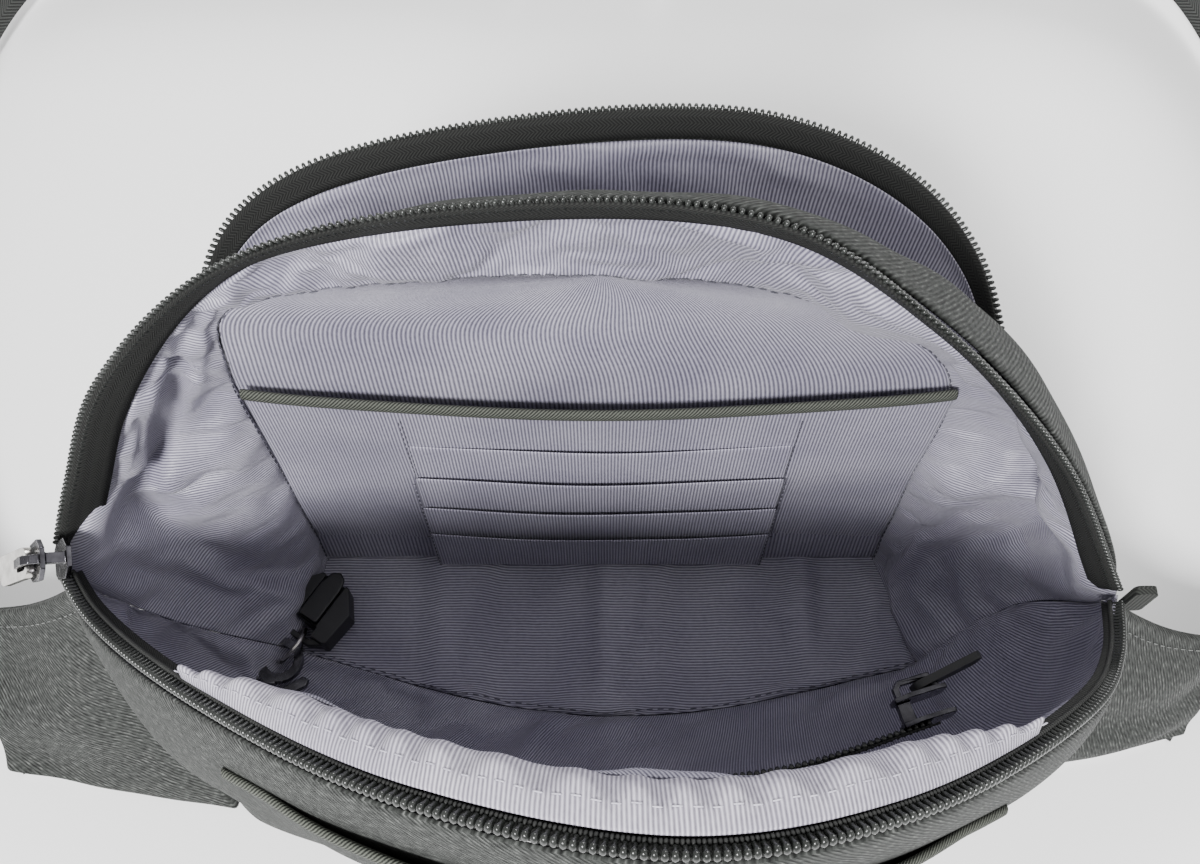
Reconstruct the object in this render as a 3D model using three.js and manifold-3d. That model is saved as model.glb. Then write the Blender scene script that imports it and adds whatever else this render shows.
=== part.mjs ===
// A hip-worn money belt, standing open on its base. Units are millimetres, +Z up, +X to the right of
// someone looking in over the front panel, +Y towards the wearer's back.
// The origin is on the underside of the base, below the foot of the partition wall.
import * as THREE from 'three';
import { mergeVertices } from 'three/addons/utils/BufferGeometryUtils.js';
import Module from 'manifold-3d';

const wasm = await Module();
wasm.setup();

// ---- driving dimensions -------------------------------------------------------------------------
const OUTER = 1.3; // face fabric with its foam backing
const LINING = 0.7; // lining cloth
const TAPE = 0.7; // zip tape
const COIL_WIDTH = 3.0; // one half of a number 5 coil
const COIL_HEIGHT = 2.0;
const TAPE_WIDTH = 9; // visible zip tape beside the coil
const GAP = 0.5; // clearance between pieces that touch on the real bag
const BASE_THICKNESS = 2.5;
const PARTITION_Y = 6.7; // middle of the partition's thickness
const PARTITION_INSET = 0.97; // of its outline from the gusset that it is sewn to
const POCKET_HALF = 73; // half width of the slip pocket
const POCKET_TOP = 100;
const CARD_WIDTH = 92; // stitched card panel: a bank card and its seams
const CARD_TOPS = [82, 65, 48, 32]; // height of each card slot's lip
const FRONT_HALF = 0.17; // share of the front rim, at each end, that stays with the pack
const WEBBING_WIDTH = 38;
const WEBBING = 1.4;
const LAYER_PITCH = 2.3; // from one layer of webbing to the next
const BELT_Y = 240; // middle layer of the straight run behind the bag
const BUCKLE_WIDTH = 48;
const BUCKLE_THICKNESS = 11;
const BUCKLE_LIFT = 6; // the webbing rises by this near the buckle, which is wider than it

const COLOURS = {
  face: 0x5d5f5d,
  lining: 0x9695a3,
  tape: 0x2b2c2b,
  coil: 0x3a3c3a,
  binding: 0x4b4d4a,
  webbing: 0x2f302f,
  plastic: 0x1a1a1c,
  nickel: 0x6d6a70,
  blackNickel: 0x2a292c,
};

const FINISHES = {
  face: { roughness: 0.95, metalness: 0 },
  lining: { roughness: 0.6, metalness: 0 },
  tape: { roughness: 0.9, metalness: 0 },
  coil: { roughness: 0.45, metalness: 0 },
  binding: { roughness: 0.9, metalness: 0 },
  webbing: { roughness: 0.85, metalness: 0 },
  plastic: { roughness: 0.5, metalness: 0 },
  nickel: { roughness: 0.2, metalness: 1 },
  blackNickel: { roughness: 0.25, metalness: 1 },
};

const group = new THREE.Group();

function addMesh(name, geometry, finish, parent = group) {
  const material = new THREE.MeshStandardMaterial({ color: COLOURS[finish], ...FINISHES[finish] });
  const mesh = new THREE.Mesh(geometry, material);
  mesh.name = name;
  parent.add(mesh);
  return mesh;
}

// ---- edges of the bag ---------------------------------------------------------------------------
// Each edge is a smooth curve through a few hand-set points, read from left to right.
function edge(points) {
  const vectors = points.map((p) => new THREE.Vector3(...p));
  const curve = new THREE.CatmullRomCurve3(vectors, false, 'centripetal');
  curve.arcLengthDivisions = 400;
  return curve;
}

const ZIP_LEFT = [-125, -27, 77];
const ZIP_RIGHT = [118, -35, 77];
const BASE_LEFT = [-112, -31, 4];
const BASE_RIGHT = [112, -33, 4];
const REAR_ZIP_LEFT = [-104, 7, 62];
const REAR_ZIP_RIGHT = [104, 7, 62];

const rearRim = edge([
  ZIP_LEFT, [-115, -17, 100], [-100, -8, 129], [-68, 1, 159], [-20, 3, 174],
  [30, -4, 179], [58, -15, 165], [90, -24, 128], ZIP_RIGHT,
]);
const frontRim = edge([
  ZIP_LEFT, [-110, -44, 91], [-73, -71, 125], [-30, -93, 152], [13, -102, 162],
  [48, -95, 153], [91, -71, 120], [107, -55, 98], ZIP_RIGHT,
]);
const gussetRim = edge([
  BASE_LEFT, [-119, -29, 40], ZIP_LEFT, [-115, -17, 100], [-100, -8, 129], [-68, 1, 159], [-20, 3, 174],
  [30, -4, 179], [58, -15, 165], [90, -24, 128], ZIP_RIGHT, [116, -34, 40], BASE_RIGHT,
]);
const partitionEdge = edge([
  [-80, 0, 4], [-81, 5, 50], [-81, 6, 112], [-75, 6, 135], [-45, 6, 145], [0, 6, 148],
  [34, 6, 143], [62, 6, 127], [78, 6, 104], [80, 5, 50], [80, 0, 4],
]);
const rearZipFront = edge([
  REAR_ZIP_LEFT, [-98, 8, 98], [-60, 10, 140], [0, 11, 157], [40, 11, 153], [83, 11, 119], REAR_ZIP_RIGHT,
]);
const rearGussetEdge = edge([
  [-99, 6, 4], [-103, 7, 35], REAR_ZIP_LEFT, [-98, 8, 98], [-60, 10, 140], [0, 11, 157], [40, 11, 153],
  [83, 11, 119], REAR_ZIP_RIGHT, [103, 7, 35], [99, 6, 4],
]);
const rearZipBack = edge([
  [-88, 44, 105], [-68, 53, 117], [-9, 62, 125], [40, 63, 123], [70, 53, 116], [88, 41, 102],
]);
const rearFoot = edge([[-88, 12, 6], [0, 13, 6], [88, 12, 6]]);
const baseFront = edge([
  BASE_LEFT, [-103, -57, 4], [-72, -72, 4], [0, -79, 4], [72, -72, 4], [103, -57, 4], BASE_RIGHT,
]);

// The front lining hangs from the facing's free edge to a seam on the floor, with a loose belly between.
const facingFoot = edge([
  [-121, -25, 74], [-107, -38, 87], [-73, -60, 118], [-30, -80.5, 142.5], [13, -89.5, 152.5],
  [48, -82.5, 143.5], [91, -62, 113], [105, -50, 92], [114, -33, 74],
]);
const floorSeam = edge([
  [-112, -29, 40], [-84, -28, 8], [-33, -42, 5], [0, -46, 5], [33, -44, 5], [88, -33, 8], [106, -26, 40],
]);
const liningBelly = edge([
  [-116, -34, 50], [-110, -64, 20], [-84, -76, 36], [-42, -92, 62], [0, -98, 82],
  [40, -94, 70], [84, -78, 44], [104, -52, 48], [110, -34, 54],
]);

// ---- sheet and strip helpers --------------------------------------------------------------------
// A grid of points between an edge and a second curve. start and end are distances from the edge;
// without an end, the grid stops short of the second curve by stop. sag leans the middle along Y,
// and via is a third curve that pulls the middle towards it.
function strip(from, toward, range) {
  const { left = 0, right = 1, steps = 40, across = 1, start = 0, end, stop = 0, sag = 0, via } = range;
  const rows = [];
  for (let i = 0; i <= steps; i += 1) {
    const u = left + ((right - left) * i) / steps;
    const top = from.getPointAt(u);
    const along = toward.getPointAt(u).sub(top);
    const length = along.length();
    const last = end ?? length - stop;
    const row = [];
    for (let j = 0; j <= across; j += 1) {
      const distance = start + ((last - start) * j) / across;
      const point = top.clone().addScaledVector(along, distance / length);
      point.y += sag * Math.sin((Math.PI * distance) / length);
      if (via) {
        const share = distance / length;
        const pull = via.getPointAt(u).sub(top.clone().addScaledVector(along, 0.5));
        point.addScaledVector(pull, 2 * share * (1 - share));
      }
      row.push(point);
    }
    rows.push(row);
  }
  return rows;
}

// A closed sheet of even thickness over a grid, moved off the grid by offset along its normal.
function sheet(grid, thickness, offset = 0) {
  const rows = grid.length;
  const columns = grid[0].length;
  const normalAt = (i, j) => {
    const alongRows = grid[Math.min(i + 1, rows - 1)][j].clone().sub(grid[Math.max(i - 1, 0)][j]);
    const alongColumns = grid[i][Math.min(j + 1, columns - 1)].clone().sub(grid[i][Math.max(j - 1, 0)]);
    return alongRows.cross(alongColumns).normalize();
  };
  const positions = [];
  for (const side of [1, -1]) {
    for (let i = 0; i < rows; i += 1) {
      for (let j = 0; j < columns; j += 1) {
        const height = offset + (side * thickness) / 2;
        positions.push(...grid[i][j].clone().addScaledVector(normalAt(i, j), height).toArray());
      }
    }
  }
  const faces = [];
  const top = (i, j) => i * columns + j;
  const bottom = (i, j) => rows * columns + i * columns + j;
  const quad = (a, b, c, d) => faces.push(a, b, c, a, c, d);
  for (let i = 0; i < rows - 1; i += 1) {
    for (let j = 0; j < columns - 1; j += 1) {
      quad(top(i, j), top(i + 1, j), top(i + 1, j + 1), top(i, j + 1));
      quad(bottom(i, j), bottom(i, j + 1), bottom(i + 1, j + 1), bottom(i + 1, j));
    }
    quad(top(i, 0), bottom(i, 0), bottom(i + 1, 0), top(i + 1, 0));
    quad(top(i, columns - 1), top(i + 1, columns - 1), bottom(i + 1, columns - 1), bottom(i, columns - 1));
  }
  for (let j = 0; j < columns - 1; j += 1) {
    quad(top(0, j), top(0, j + 1), bottom(0, j + 1), bottom(0, j));
    quad(top(rows - 1, j), bottom(rows - 1, j), bottom(rows - 1, j + 1), top(rows - 1, j + 1));
  }
  const geometry = new THREE.BufferGeometry();
  geometry.setAttribute('position', new THREE.Float32BufferAttribute(positions, 3));
  geometry.setIndex(faces);
  return geometry;
}

// ---- solid helpers ------------------------------------------------------------------------------
function outline(points) {
  return new THREE.Shape(points.map(([x, y]) => new THREE.Vector2(x, y)));
}

function plate(shape, thickness, curveSegments = 10) {
  return new THREE.ExtrudeGeometry(shape, { depth: thickness, bevelEnabled: false, curveSegments });
}

function box(x, y, z, cx = 0, cy = 0, cz = 0) {
  return new THREE.BoxGeometry(x, y, z).translate(cx, cy, cz);
}

function roundedRectangle(width, height, radius) {
  const shape = new THREE.Shape();
  const x = width / 2 - radius;
  const y = height / 2 - radius;
  shape.absarc(x, y, radius, 0, Math.PI / 2);
  shape.absarc(-x, y, radius, Math.PI / 2, Math.PI);
  shape.absarc(-x, -y, radius, Math.PI, 1.5 * Math.PI);
  shape.absarc(x, -y, radius, 1.5 * Math.PI, 2 * Math.PI);
  return shape;
}

function circleHole(x, y, radius) {
  const hole = new THREE.Path();
  hole.absarc(x, y, radius, 0, 2 * Math.PI, true);
  return hole;
}

function toSolid(geometry) {
  const bare = geometry.clone();
  bare.deleteAttribute('normal');
  bare.deleteAttribute('uv');
  const merged = mergeVertices(bare, 1e-4);
  const mesh = new wasm.Mesh({
    numProp: 3,
    vertProperties: new Float32Array(merged.attributes.position.array),
    triVerts: new Uint32Array(merged.index.array),
  });
  return new wasm.Manifold(mesh);
}

function fromSolid(solid) {
  const mesh = solid.getMesh();
  const geometry = new THREE.BufferGeometry();
  geometry.setAttribute('position', new THREE.Float32BufferAttribute(mesh.vertProperties, 3));
  geometry.setIndex([...mesh.triVerts]);
  return geometry;
}

function join(...parts) {
  return fromSolid(parts.map(toSolid).reduce((a, b) => a.add(b)));
}

function cut(body, ...tools) {
  return fromSolid(tools.map(toSolid).reduce((a, b) => a.subtract(b), toSolid(body)));
}

// ---- base ---------------------------------------------------------------------------------------
function baseOutline(inset) {
  const front = baseFront.getSpacedPoints(24).map((p) => [p.x * (1 - inset / 112), p.y + inset]);
  const rear = [[98, 4], [88, 10], [-88, 10], [-98, 4]].map(([x, y]) => [x * (1 - inset / 112), y - inset]);
  return outline([...front, ...rear]);
}

addMesh('base_panel', plate(baseOutline(0), BASE_THICKNESS), 'face');

// The floor lining covers the main compartment only and stops short of every wall.
const floorOutline = [[-82, -30], [-33, -41], [0, -45], [33, -43], [86, -34], [76, -2], [-76, -2]];
const floorLining = plate(outline(floorOutline), LINING);
floorLining.translate(0, 0, BASE_THICKNESS + GAP);
addMesh('floor_lining', floorLining, 'lining');

// ---- partition, its pockets and card slots ------------------------------------------------------
const partitionPoints = partitionEdge.getSpacedPoints(36);
const insetPoint = (p) => [p.x * PARTITION_INSET, 4 + (p.z - 4) * PARTITION_INSET];
const partitionShape = outline(partitionPoints.map(insetPoint));
// Turns a plate drawn flat so that it stands with its front face at y less its thickness.
const standUp = (geometry, y) => geometry.rotateX(Math.PI / 2).translate(0, y, 0);
addMesh('partition_panel', standUp(plate(partitionShape, 2.4), PARTITION_Y + 1.2), 'lining');

const pocketFace = 1.2; // the face of the slip pocket, which the card sleeves are sewn on
const pocketShape = outline([
  [-POCKET_HALF, 5], [POCKET_HALF, 5], [POCKET_HALF, POCKET_TOP], [-POCKET_HALF, POCKET_TOP],
]);
addMesh('slip_pocket', standUp(plate(pocketShape, LINING), pocketFace + LINING), 'lining');
const bindingBox = box(2 * POCKET_HALF, 2.4, 3.2, 0, pocketFace + 0.35, POCKET_TOP + GAP + 1.6);
addMesh('pocket_binding', bindingBox, 'binding');

CARD_TOPS.forEach((top, index) => {
  const face = pocketFace - (index + 1) * (LINING + GAP);
  const sleeve = box(CARD_WIDTH - index * 2, LINING, top - 8, 0, face + LINING / 2, 8 + (top - 8) / 2);
  addMesh(`card_sleeve_${index + 1}`, sleeve, 'lining');
});

// ---- gusset round the main compartment, and the fixed half of the main zip ---------------------
const RIM_INSET = COIL_WIDTH / 2 + GAP;
const gussetLining = strip(gussetRim, partitionEdge, {
  steps: 44, across: 3, start: TAPE_WIDTH + 4, stop: 3,
});
addMesh('gusset_lining', sheet(gussetLining, LINING, -1.2), 'lining');
const gussetFace = strip(gussetRim, rearGussetEdge, { steps: 44, across: 3, start: 5, stop: 4.5 });
addMesh('gusset_panel', sheet(gussetFace, OUTER, 2.6), 'face');
const rimStart = { left: 0.045, right: 0.985 };
const rearCoil = strip(rearRim, partitionEdge, { ...rimStart, steps: 44, start: -1.5, end: 1.5 });
addMesh('main_zip_rear_coil', sheet(rearCoil, COIL_HEIGHT, 0), 'coil');
const rearTape = strip(rearRim, partitionEdge, {
  ...rimStart, steps: 44, start: RIM_INSET, end: RIM_INSET + TAPE_WIDTH,
});
addMesh('main_zip_rear_tape', sheet(rearTape, TAPE, -0.9), 'tape');

// ---- front panel, which folds forward from the base ---------------------------------------------
const movingFront = { left: FRONT_HALF, right: 1 - FRONT_HALF };
const fixedLeft = { left: 0.05, right: FRONT_HALF - 0.006 };
const fixedRight = { left: 1 - FRONT_HALF + 0.006, right: 0.985 };
const frontWall = { start: RIM_INSET + 2, stop: 4, across: 5, sag: -7 };
const frontPanel = strip(frontRim, baseFront, { ...movingFront, ...frontWall, steps: 26 });
addMesh('front_panel', sheet(frontPanel, OUTER, -2), 'face');
const frontLining = strip(facingFoot, floorSeam, {
  left: 0.3, right: 1 - FRONT_HALF, steps: 24, across: 7, start: 2, stop: 13, via: liningBelly,
});
addMesh('front_lining', sheet(frontLining, LINING), 'lining');
const facing = strip(frontRim, facingFoot, { left: 0.23, right: 0.77, steps: 24, start: 3.5, stop: 0.5 });
addMesh('facing_band', sheet(facing, LINING), 'lining');
const frontCoil = strip(frontRim, baseFront, { ...movingFront, steps: 30, start: -1.5, end: 1.5 });
addMesh('main_zip_front_coil', sheet(frontCoil, COIL_HEIGHT, 0), 'coil');
const frontTape = strip(frontRim, baseFront, {
  ...movingFront, steps: 30, start: RIM_INSET, end: RIM_INSET + TAPE_WIDTH,
});
addMesh('main_zip_front_tape', sheet(frontTape, TAPE, 0.2), 'tape');

for (const [name, range] of [['left', fixedLeft], ['right', fixedRight]]) {
  const coil = strip(frontRim, baseFront, { ...range, steps: 8, start: -1.5, end: 1.5 });
  addMesh(`main_zip_${name}_coil_end`, sheet(coil, COIL_HEIGHT, 0), 'coil');
  const wall = strip(frontRim, baseFront, { ...range, ...frontWall, steps: 8 });
  addMesh(`front_corner_${name}`, sheet(wall, OUTER, -1), 'face');
}

// Slip pocket on the outside of the front panel, with a bound mouth.
const outerPocket = { left: 0.25, right: 0.75, steps: 20 };
const pocketPatch = strip(frontRim, baseFront, { ...outerPocket, across: 4, start: 24, stop: 8, sag: -7 });
addMesh('front_pocket', sheet(pocketPatch, OUTER, -4.2), 'face');
const pocketMouth = strip(frontRim, baseFront, { ...outerPocket, start: 20.5, end: 23.5, sag: -7 });
addMesh('front_pocket_binding', sheet(pocketMouth, 1.6, -4.0), 'binding');

// Zip of the pocket behind the front lining. It follows the lining's curve at a constant height.
const INNER_ZIP_Z = 80;
const innerArc = [[-62, -69], [-30, -76], [5, -79], [40, -76], [72, -66]];
const innerZip = edge(innerArc.map(([x, y]) => [x, y, INNER_ZIP_Z]));
const innerFoot = edge(innerArc.map(([x, y]) => [x * 0.97, y * 0.8, 14]));
addMesh('inner_zip_coil', sheet(strip(innerZip, innerFoot, { steps: 16, start: -2, end: 2 }), 1.6), 'coil');

// ---- rear compartment ---------------------------------------------------------------------------
const rearZipRange = { left: 0.06, right: 0.96 };
const rearFrontCoil = strip(rearZipFront, rearFoot, { ...rearZipRange, steps: 36, start: -1.5, end: 1.5 });
addMesh('rear_zip_front_coil', sheet(rearFrontCoil, COIL_HEIGHT, 0), 'coil');
const rearPanelGrid = strip(rearZipBack, rearFoot, { steps: 22, across: 4, start: RIM_INSET });
addMesh('rear_panel', sheet(rearPanelGrid, 3, 2.4), 'face');
addMesh('rear_lining', sheet(rearPanelGrid, LINING, -0.5), 'lining');
const rearBackCoil = strip(rearZipBack, rearFoot, { steps: 24, start: -1.5, end: 1.5 });
addMesh('rear_zip_back_coil', sheet(rearBackCoil, COIL_HEIGHT, 0), 'coil');
for (const [name, side] of [['left', -1], ['right', 1]]) {
  const corner = outline([[90, 4], [97, 4], [101, 56], [90, 56]].map(([x, z]) => [side * x, z]));
  addMesh(`rear_corner_${name}`, standUp(plate(corner, OUTER), 12.5), 'face');
}

// ---- wings and belt -----------------------------------------------------------------------------
// A wing tapers from the bag's side to the width of the webbing.
const WING_ROOT = { top: [124, -32, 74], foot: [119, -40, 4] };
const LEFT_TIP = { top: [160, -26, 39], foot: [160, -60, 3] };
const RIGHT_TIP = { top: [160, -34, 39], foot: [160, -50, 3] };

function wingGrid(side, tip) {
  const corner = ([x, y, z]) => new THREE.Vector3(side * x, y, z);
  const rows = [];
  for (let i = 0; i <= 6; i += 1) {
    const t = i / 6;
    const top = corner(WING_ROOT.top).lerp(corner(tip.top), t);
    const foot = corner(WING_ROOT.foot).lerp(corner(tip.foot), t);
    const row = [];
    for (let j = 0; j <= 5; j += 1) {
      const point = top.clone().lerp(foot, j / 5);
      point.y -= 5 * Math.sin(Math.PI * t) * Math.sin((Math.PI * j) / 5);
      row.push(point);
    }
    rows.push(row);
  }
  return side > 0 ? rows : rows.reverse();
}

addMesh('wing_left', sheet(wingGrid(-1, LEFT_TIP), 4), 'face');
addMesh('wing_right', sheet(wingGrid(1, RIGHT_TIP), 4), 'face');

// The webbing stands on its edge and runs round behind, as it is worn.
function beltGrid(points, steps) {
  const route = edge(points.map(([x, y]) => [x, y, 0]));
  return route.getPoints(steps).map((p) => {
    const foot = 0.4 + BUCKLE_LIFT * THREE.MathUtils.smoothstep(p.y, 120, 225);
    return [new THREE.Vector3(p.x, p.y, foot + WEBBING_WIDTH), new THREE.Vector3(p.x, p.y, foot)];
  });
}

const beltSide = [
  [162.4, -43], [178, -28], [198, 12], [213, 62], [219, 120], [216, 180], [198, 222], [165, BELT_Y - 2],
];
const leftRoute = [...beltSide.map(([x, y]) => [-x, y]), [-115, BELT_Y], [-70, BELT_Y], [-33, BELT_Y]];
addMesh('belt_left', sheet(beltGrid(leftRoute, 44), WEBBING), 'webbing');
const rightRoute = [...beltSide, [130, BELT_Y], [100, BELT_Y], [74, BELT_Y]];
addMesh('belt_right', sheet(beltGrid(rightRoute, 40), WEBBING), 'webbing');

// Behind the buckle the webbing is doubled: a loop round the buckle's bar holds the belt's end between
// its two layers, so that the buckle and the adjuster slide along the belt together.
const LOOP_END = 112;
const BAR_X = 34;
const loopRoute = [
  [LOOP_END, BELT_Y + LAYER_PITCH], [BAR_X + 8, BELT_Y + LAYER_PITCH], [BAR_X, BELT_Y + LAYER_PITCH],
  [BAR_X - 2, BELT_Y + LAYER_PITCH - 0.9],
  [BAR_X - 2.8, BELT_Y], [BAR_X - 2, BELT_Y - LAYER_PITCH + 0.9], [BAR_X, BELT_Y - LAYER_PITCH],
  [BAR_X + 8, BELT_Y - LAYER_PITCH],
  [LOOP_END, BELT_Y - LAYER_PITCH],
];
addMesh('belt_loop', sheet(beltGrid(loopRoute, 40), WEBBING), 'webbing');

const BELT_Z = 0.4 + BUCKLE_LIFT + WEBBING_WIDTH / 2; // middle of the webbing at the buckle
const LOOP_ROOM = 2 * LAYER_PITCH + WEBBING + 2 * GAP;

// The adjuster is a flat frame that the three layers pass through, open on both faces.
const adjusterBody = box(27, LOOP_ROOM + 4, WEBBING_WIDTH + 7);
const adjusterChannel = box(30, LOOP_ROOM, WEBBING_WIDTH + 1.6);
const adjusterWindows = [-6.5, 6.5].map((x) => box(8, LOOP_ROOM + 8, WEBBING_WIDTH + 1.6, x, 0, 0));
const adjusterFrame = cut(adjusterBody, adjusterChannel, ...adjusterWindows);
const adjuster = addMesh('belt_adjuster', adjusterFrame, 'plastic');
adjuster.position.set(LOOP_END - 10, BELT_Y, BELT_Z);

// ---- side-release buckle ------------------------------------------------------------------------
const buckle = new THREE.Group();
buckle.position.set(0, BELT_Y, BELT_Z);
buckle.rotation.x = Math.PI / 2; // local Y runs up across the webbing, local Z towards the bag
group.add(buckle);

function centred(shape, thickness, curveSegments) {
  return plate(shape, thickness, curveSegments).translate(0, 0, -thickness / 2);
}

const femaleBody = centred(roundedRectangle(46, BUCKLE_WIDTH, 7), BUCKLE_THICKNESS, 5).translate(-9, 0, 0);
const femaleMouth = box(34, 39.6, 6.6, 2, 0, 0); // open to the right
const sideWindow = box(15, BUCKLE_WIDTH + 4, 6.6, -5, 0, 0); // where the prongs are pressed
const webbingSlot = box(12, 40, 4, -30, 0, 0);
const webbingEye = box(5, 40, BUCKLE_THICKNESS + 4, -23.5, 0, 0);
const female = cut(femaleBody, femaleMouth, sideWindow, webbingSlot, webbingEye);
addMesh('buckle_female', female, 'plastic', buckle);

// The male half: a shoulder, a bar for the webbing loop, and a tongue between two springy prongs.
const maleFrame = centred(roundedRectangle(26, BUCKLE_WIDTH, 5), BUCKLE_THICKNESS, 5).translate(29, 0, 0);
const nearWindow = box(7, 41, 14, 27.5, 0, 0);
const farWindow = box(4, 41, 14, 38, 0, 0);
const maleChannel = box(14, 41, LOOP_ROOM, 36, 0, 0);
const maleTongue = box(24, 9, 3.6, 6, 0, 0);
const ladderBar = box(2, 43, 2, BAR_X + 0.8, 0, 0);
const maleBlank = cut(maleFrame, nearWindow, farWindow, maleChannel);
addMesh('buckle_male', join(maleBlank, maleTongue, ladderBar), 'plastic', buckle);
for (const [name, side] of [['upper', 1], ['lower', -1]]) {
  const prong = outline([
    [15.6, 10 * side], [15.6, 15 * side], [3, 17 * side], [-3, 19.3 * side], [-9, 18.6 * side],
    [-11, 15.5 * side], [-8, 12.5 * side],
  ]);
  addMesh(`buckle_prong_${name}`, centred(prong, 4.6), 'plastic', buckle);
}

// ---- zip sliders --------------------------------------------------------------------------------
// A frame at a point: local X in the closing direction, local Z out of the cloth.
function placed(position, closing, outward, parent = group) {
  const frame = new THREE.Group();
  const x = new THREE.Vector3(...closing).normalize();
  const z = new THREE.Vector3(...outward);
  z.addScaledVector(x, -z.dot(x)).normalize();
  const y = z.clone().cross(x);
  frame.applyMatrix4(new THREE.Matrix4().makeBasis(x, y, z).setPosition(...position));
  parent.add(frame);
  return frame;
}

// Two plates on a post, with a bridge that holds the pull.
function sliderBody() {
  const shield = outline([
    [-6, -3], [-4, -4.2], [3, -4.6], [6, -2.4], [6, 2.4], [3, 4.6], [-4, 4.2], [-6, 3],
  ]);
  const upper = plate(shield, 1.1).translate(0, 0, 2.2);
  const lower = plate(shield, 1.1).translate(0, 0, -3.3);
  const post = box(3, 2.4, 6.4, 4, 0, 0);
  const arch = outline([
    [-5, 3], [-5, 5.6], [-3.6, 7], [3.6, 7], [5, 5.6], [5, 3], [3.6, 3], [3.6, 5.2], [3, 5.8], [-3, 5.8],
    [-3.6, 5.2], [-3.6, 3],
  ]);
  return join(upper, lower, post, centred(arch, 2).rotateX(Math.PI / 2));
}

// The pull's end bar is the local origin and sits under the bridge; the tab runs along local -X.
function pullTab(length, width, thickness) {
  const shape = roundedRectangle(length, width, width * 0.3);
  const eyeX = length / 2 - 3.6;
  const eye = roundedRectangle(4.8, 3.4, 0.6).getPoints(3).map((p) => new THREE.Vector2(p.x + eyeX, p.y));
  shape.holes.push(new THREE.Path(eye.reverse()));
  return centred(shape, thickness, 4).translate(0.6 - length / 2, 0, 0);
}

const PULL_HEIGHT = 4.5; // of the pull's end bar over the middle of the slider
const PULL_TILT = 0.15; // radians that each pull stands off its zip at rest

function addSlider(name, frame, { length, width, thickness, finish }) {
  addMesh(`${name}_slider`, sliderBody(), 'blackNickel', frame);
  const pull = addMesh(`${name}_pull`, pullTab(length, width, thickness), finish, frame);
  pull.position.set(0, 0, PULL_HEIGHT);
  pull.rotation.y = PULL_TILT;
}

const metalPull = { length: 17, width: 7, thickness: 1.6, finish: 'nickel' };
const rubberPull = { length: 17, width: 6.4, thickness: 1.7, finish: 'plastic' };
addSlider('main', placed([-122.5, -30, 86], [0.55, -0.15, 0.82], [-0.85, -0.25, 0.45]), metalPull);
addSlider('rear', placed([-103, 15, 70], [0.23, 0.35, 0.91], [-0.95, 0.1, 0.2]), metalPull);
addSlider('inner', placed([70, -61.6, INNER_ZIP_Z], [-0.955, -0.3, 0], [-0.3, 0.955, 0]), rubberPull);

// The tape's end at the right of the main zip is folded under and tucked beside the wing.
const zipEnd = addMesh('zip_end_tab', centred(roundedRectangle(5, 12, 1.5), 2, 3), 'tape');
zipEnd.position.set(120.5, -37.2, 81);
zipEnd.rotation.set(Math.PI / 2, 0, 0);

// ---- key holder ---------------------------------------------------------------------------------
// It lies on the floor at the left. Local X runs from the seam along the strap and the clip.
const keyHolder = new THREE.Group();
keyHolder.position.set(-97.4, -39.9, 10);
keyHolder.rotation.z = THREE.MathUtils.degToRad(39.5);
group.add(keyHolder);

const EYE_X = 12.2;
const EYE_RADIUS = 3.9;
const EYE_RIM = 6.2;

// Strap: a short tape folded round the swivel's bar, seen from its side.
const strapSide = outline([
  [-4.5, 1.9], [-1, 1.9], [0.3, 1.3], [0.8, 0], [0.3, -1.3], [-1, -1.9], [-4.5, -1.9], [-4.5, -1.1],
  [-1.2, -1.1], [-0.3, -0.7], [0, 0], [-0.3, 0.7], [-1.2, 1.1], [-4.5, 1.1],
]);
addMesh('key_strap', centred(strapSide, 7).rotateX(Math.PI / 2), 'webbing', keyHolder);

const swivelRing = outline([[-2, -5], [2.6, -5], [2.6, 5], [-2, 5]]);
const swivelHole = [[-0.8, -3.9], [-0.8, 3.9], [1.4, 3.9], [1.4, -3.9]];
swivelRing.holes.push(new THREE.Path(swivelHole.map(([x, y]) => new THREE.Vector2(x, y))));
const barrel = new THREE.CylinderGeometry(2, 2, 2.6, 16).rotateZ(Math.PI / 2).translate(3.7, 0, 0);
addMesh('key_swivel', join(centred(swivelRing, 1.2), barrel), 'blackNickel', keyHolder);

const clipShape = new THREE.Shape();
clipShape.moveTo(5.4, -3);
clipShape.lineTo(7.4, -4.8);
clipShape.absarc(EYE_X, 0, EYE_RIM, -0.75 * Math.PI, 0.75 * Math.PI);
clipShape.lineTo(7.4, 4.8);
clipShape.lineTo(5.4, 3);
clipShape.closePath();
clipShape.holes.push(circleHole(EYE_X, 0, EYE_RADIUS));
addMesh('key_clip', centred(clipShape, 2.6, 20), 'blackNickel', keyHolder);
const leverShape = outline([[7.2, -7.3], [9, -7.1], [14.5, -8], [15.2, -9.6], [13.6, -10.6], [7.6, -9.4]]);
addMesh('clip_lever', centred(leverShape, 2.2), 'blackNickel', keyHolder);

// Ring and light hang on the clip's eye, turned a little further round than the clip.
const lightFrame = new THREE.Group();
lightFrame.position.set(EYE_X, 0, 0);
lightFrame.rotation.z = THREE.MathUtils.degToRad(17.5);
keyHolder.add(lightFrame);
const RING_RADIUS = 5.5;
const ring = addMesh('key_ring', new THREE.TorusGeometry(RING_RADIUS, 0.7, 8, 28), 'nickel', lightFrame);
ring.position.x = 5;
ring.rotation.x = Math.PI / 2 + THREE.MathUtils.degToRad(30);

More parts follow.
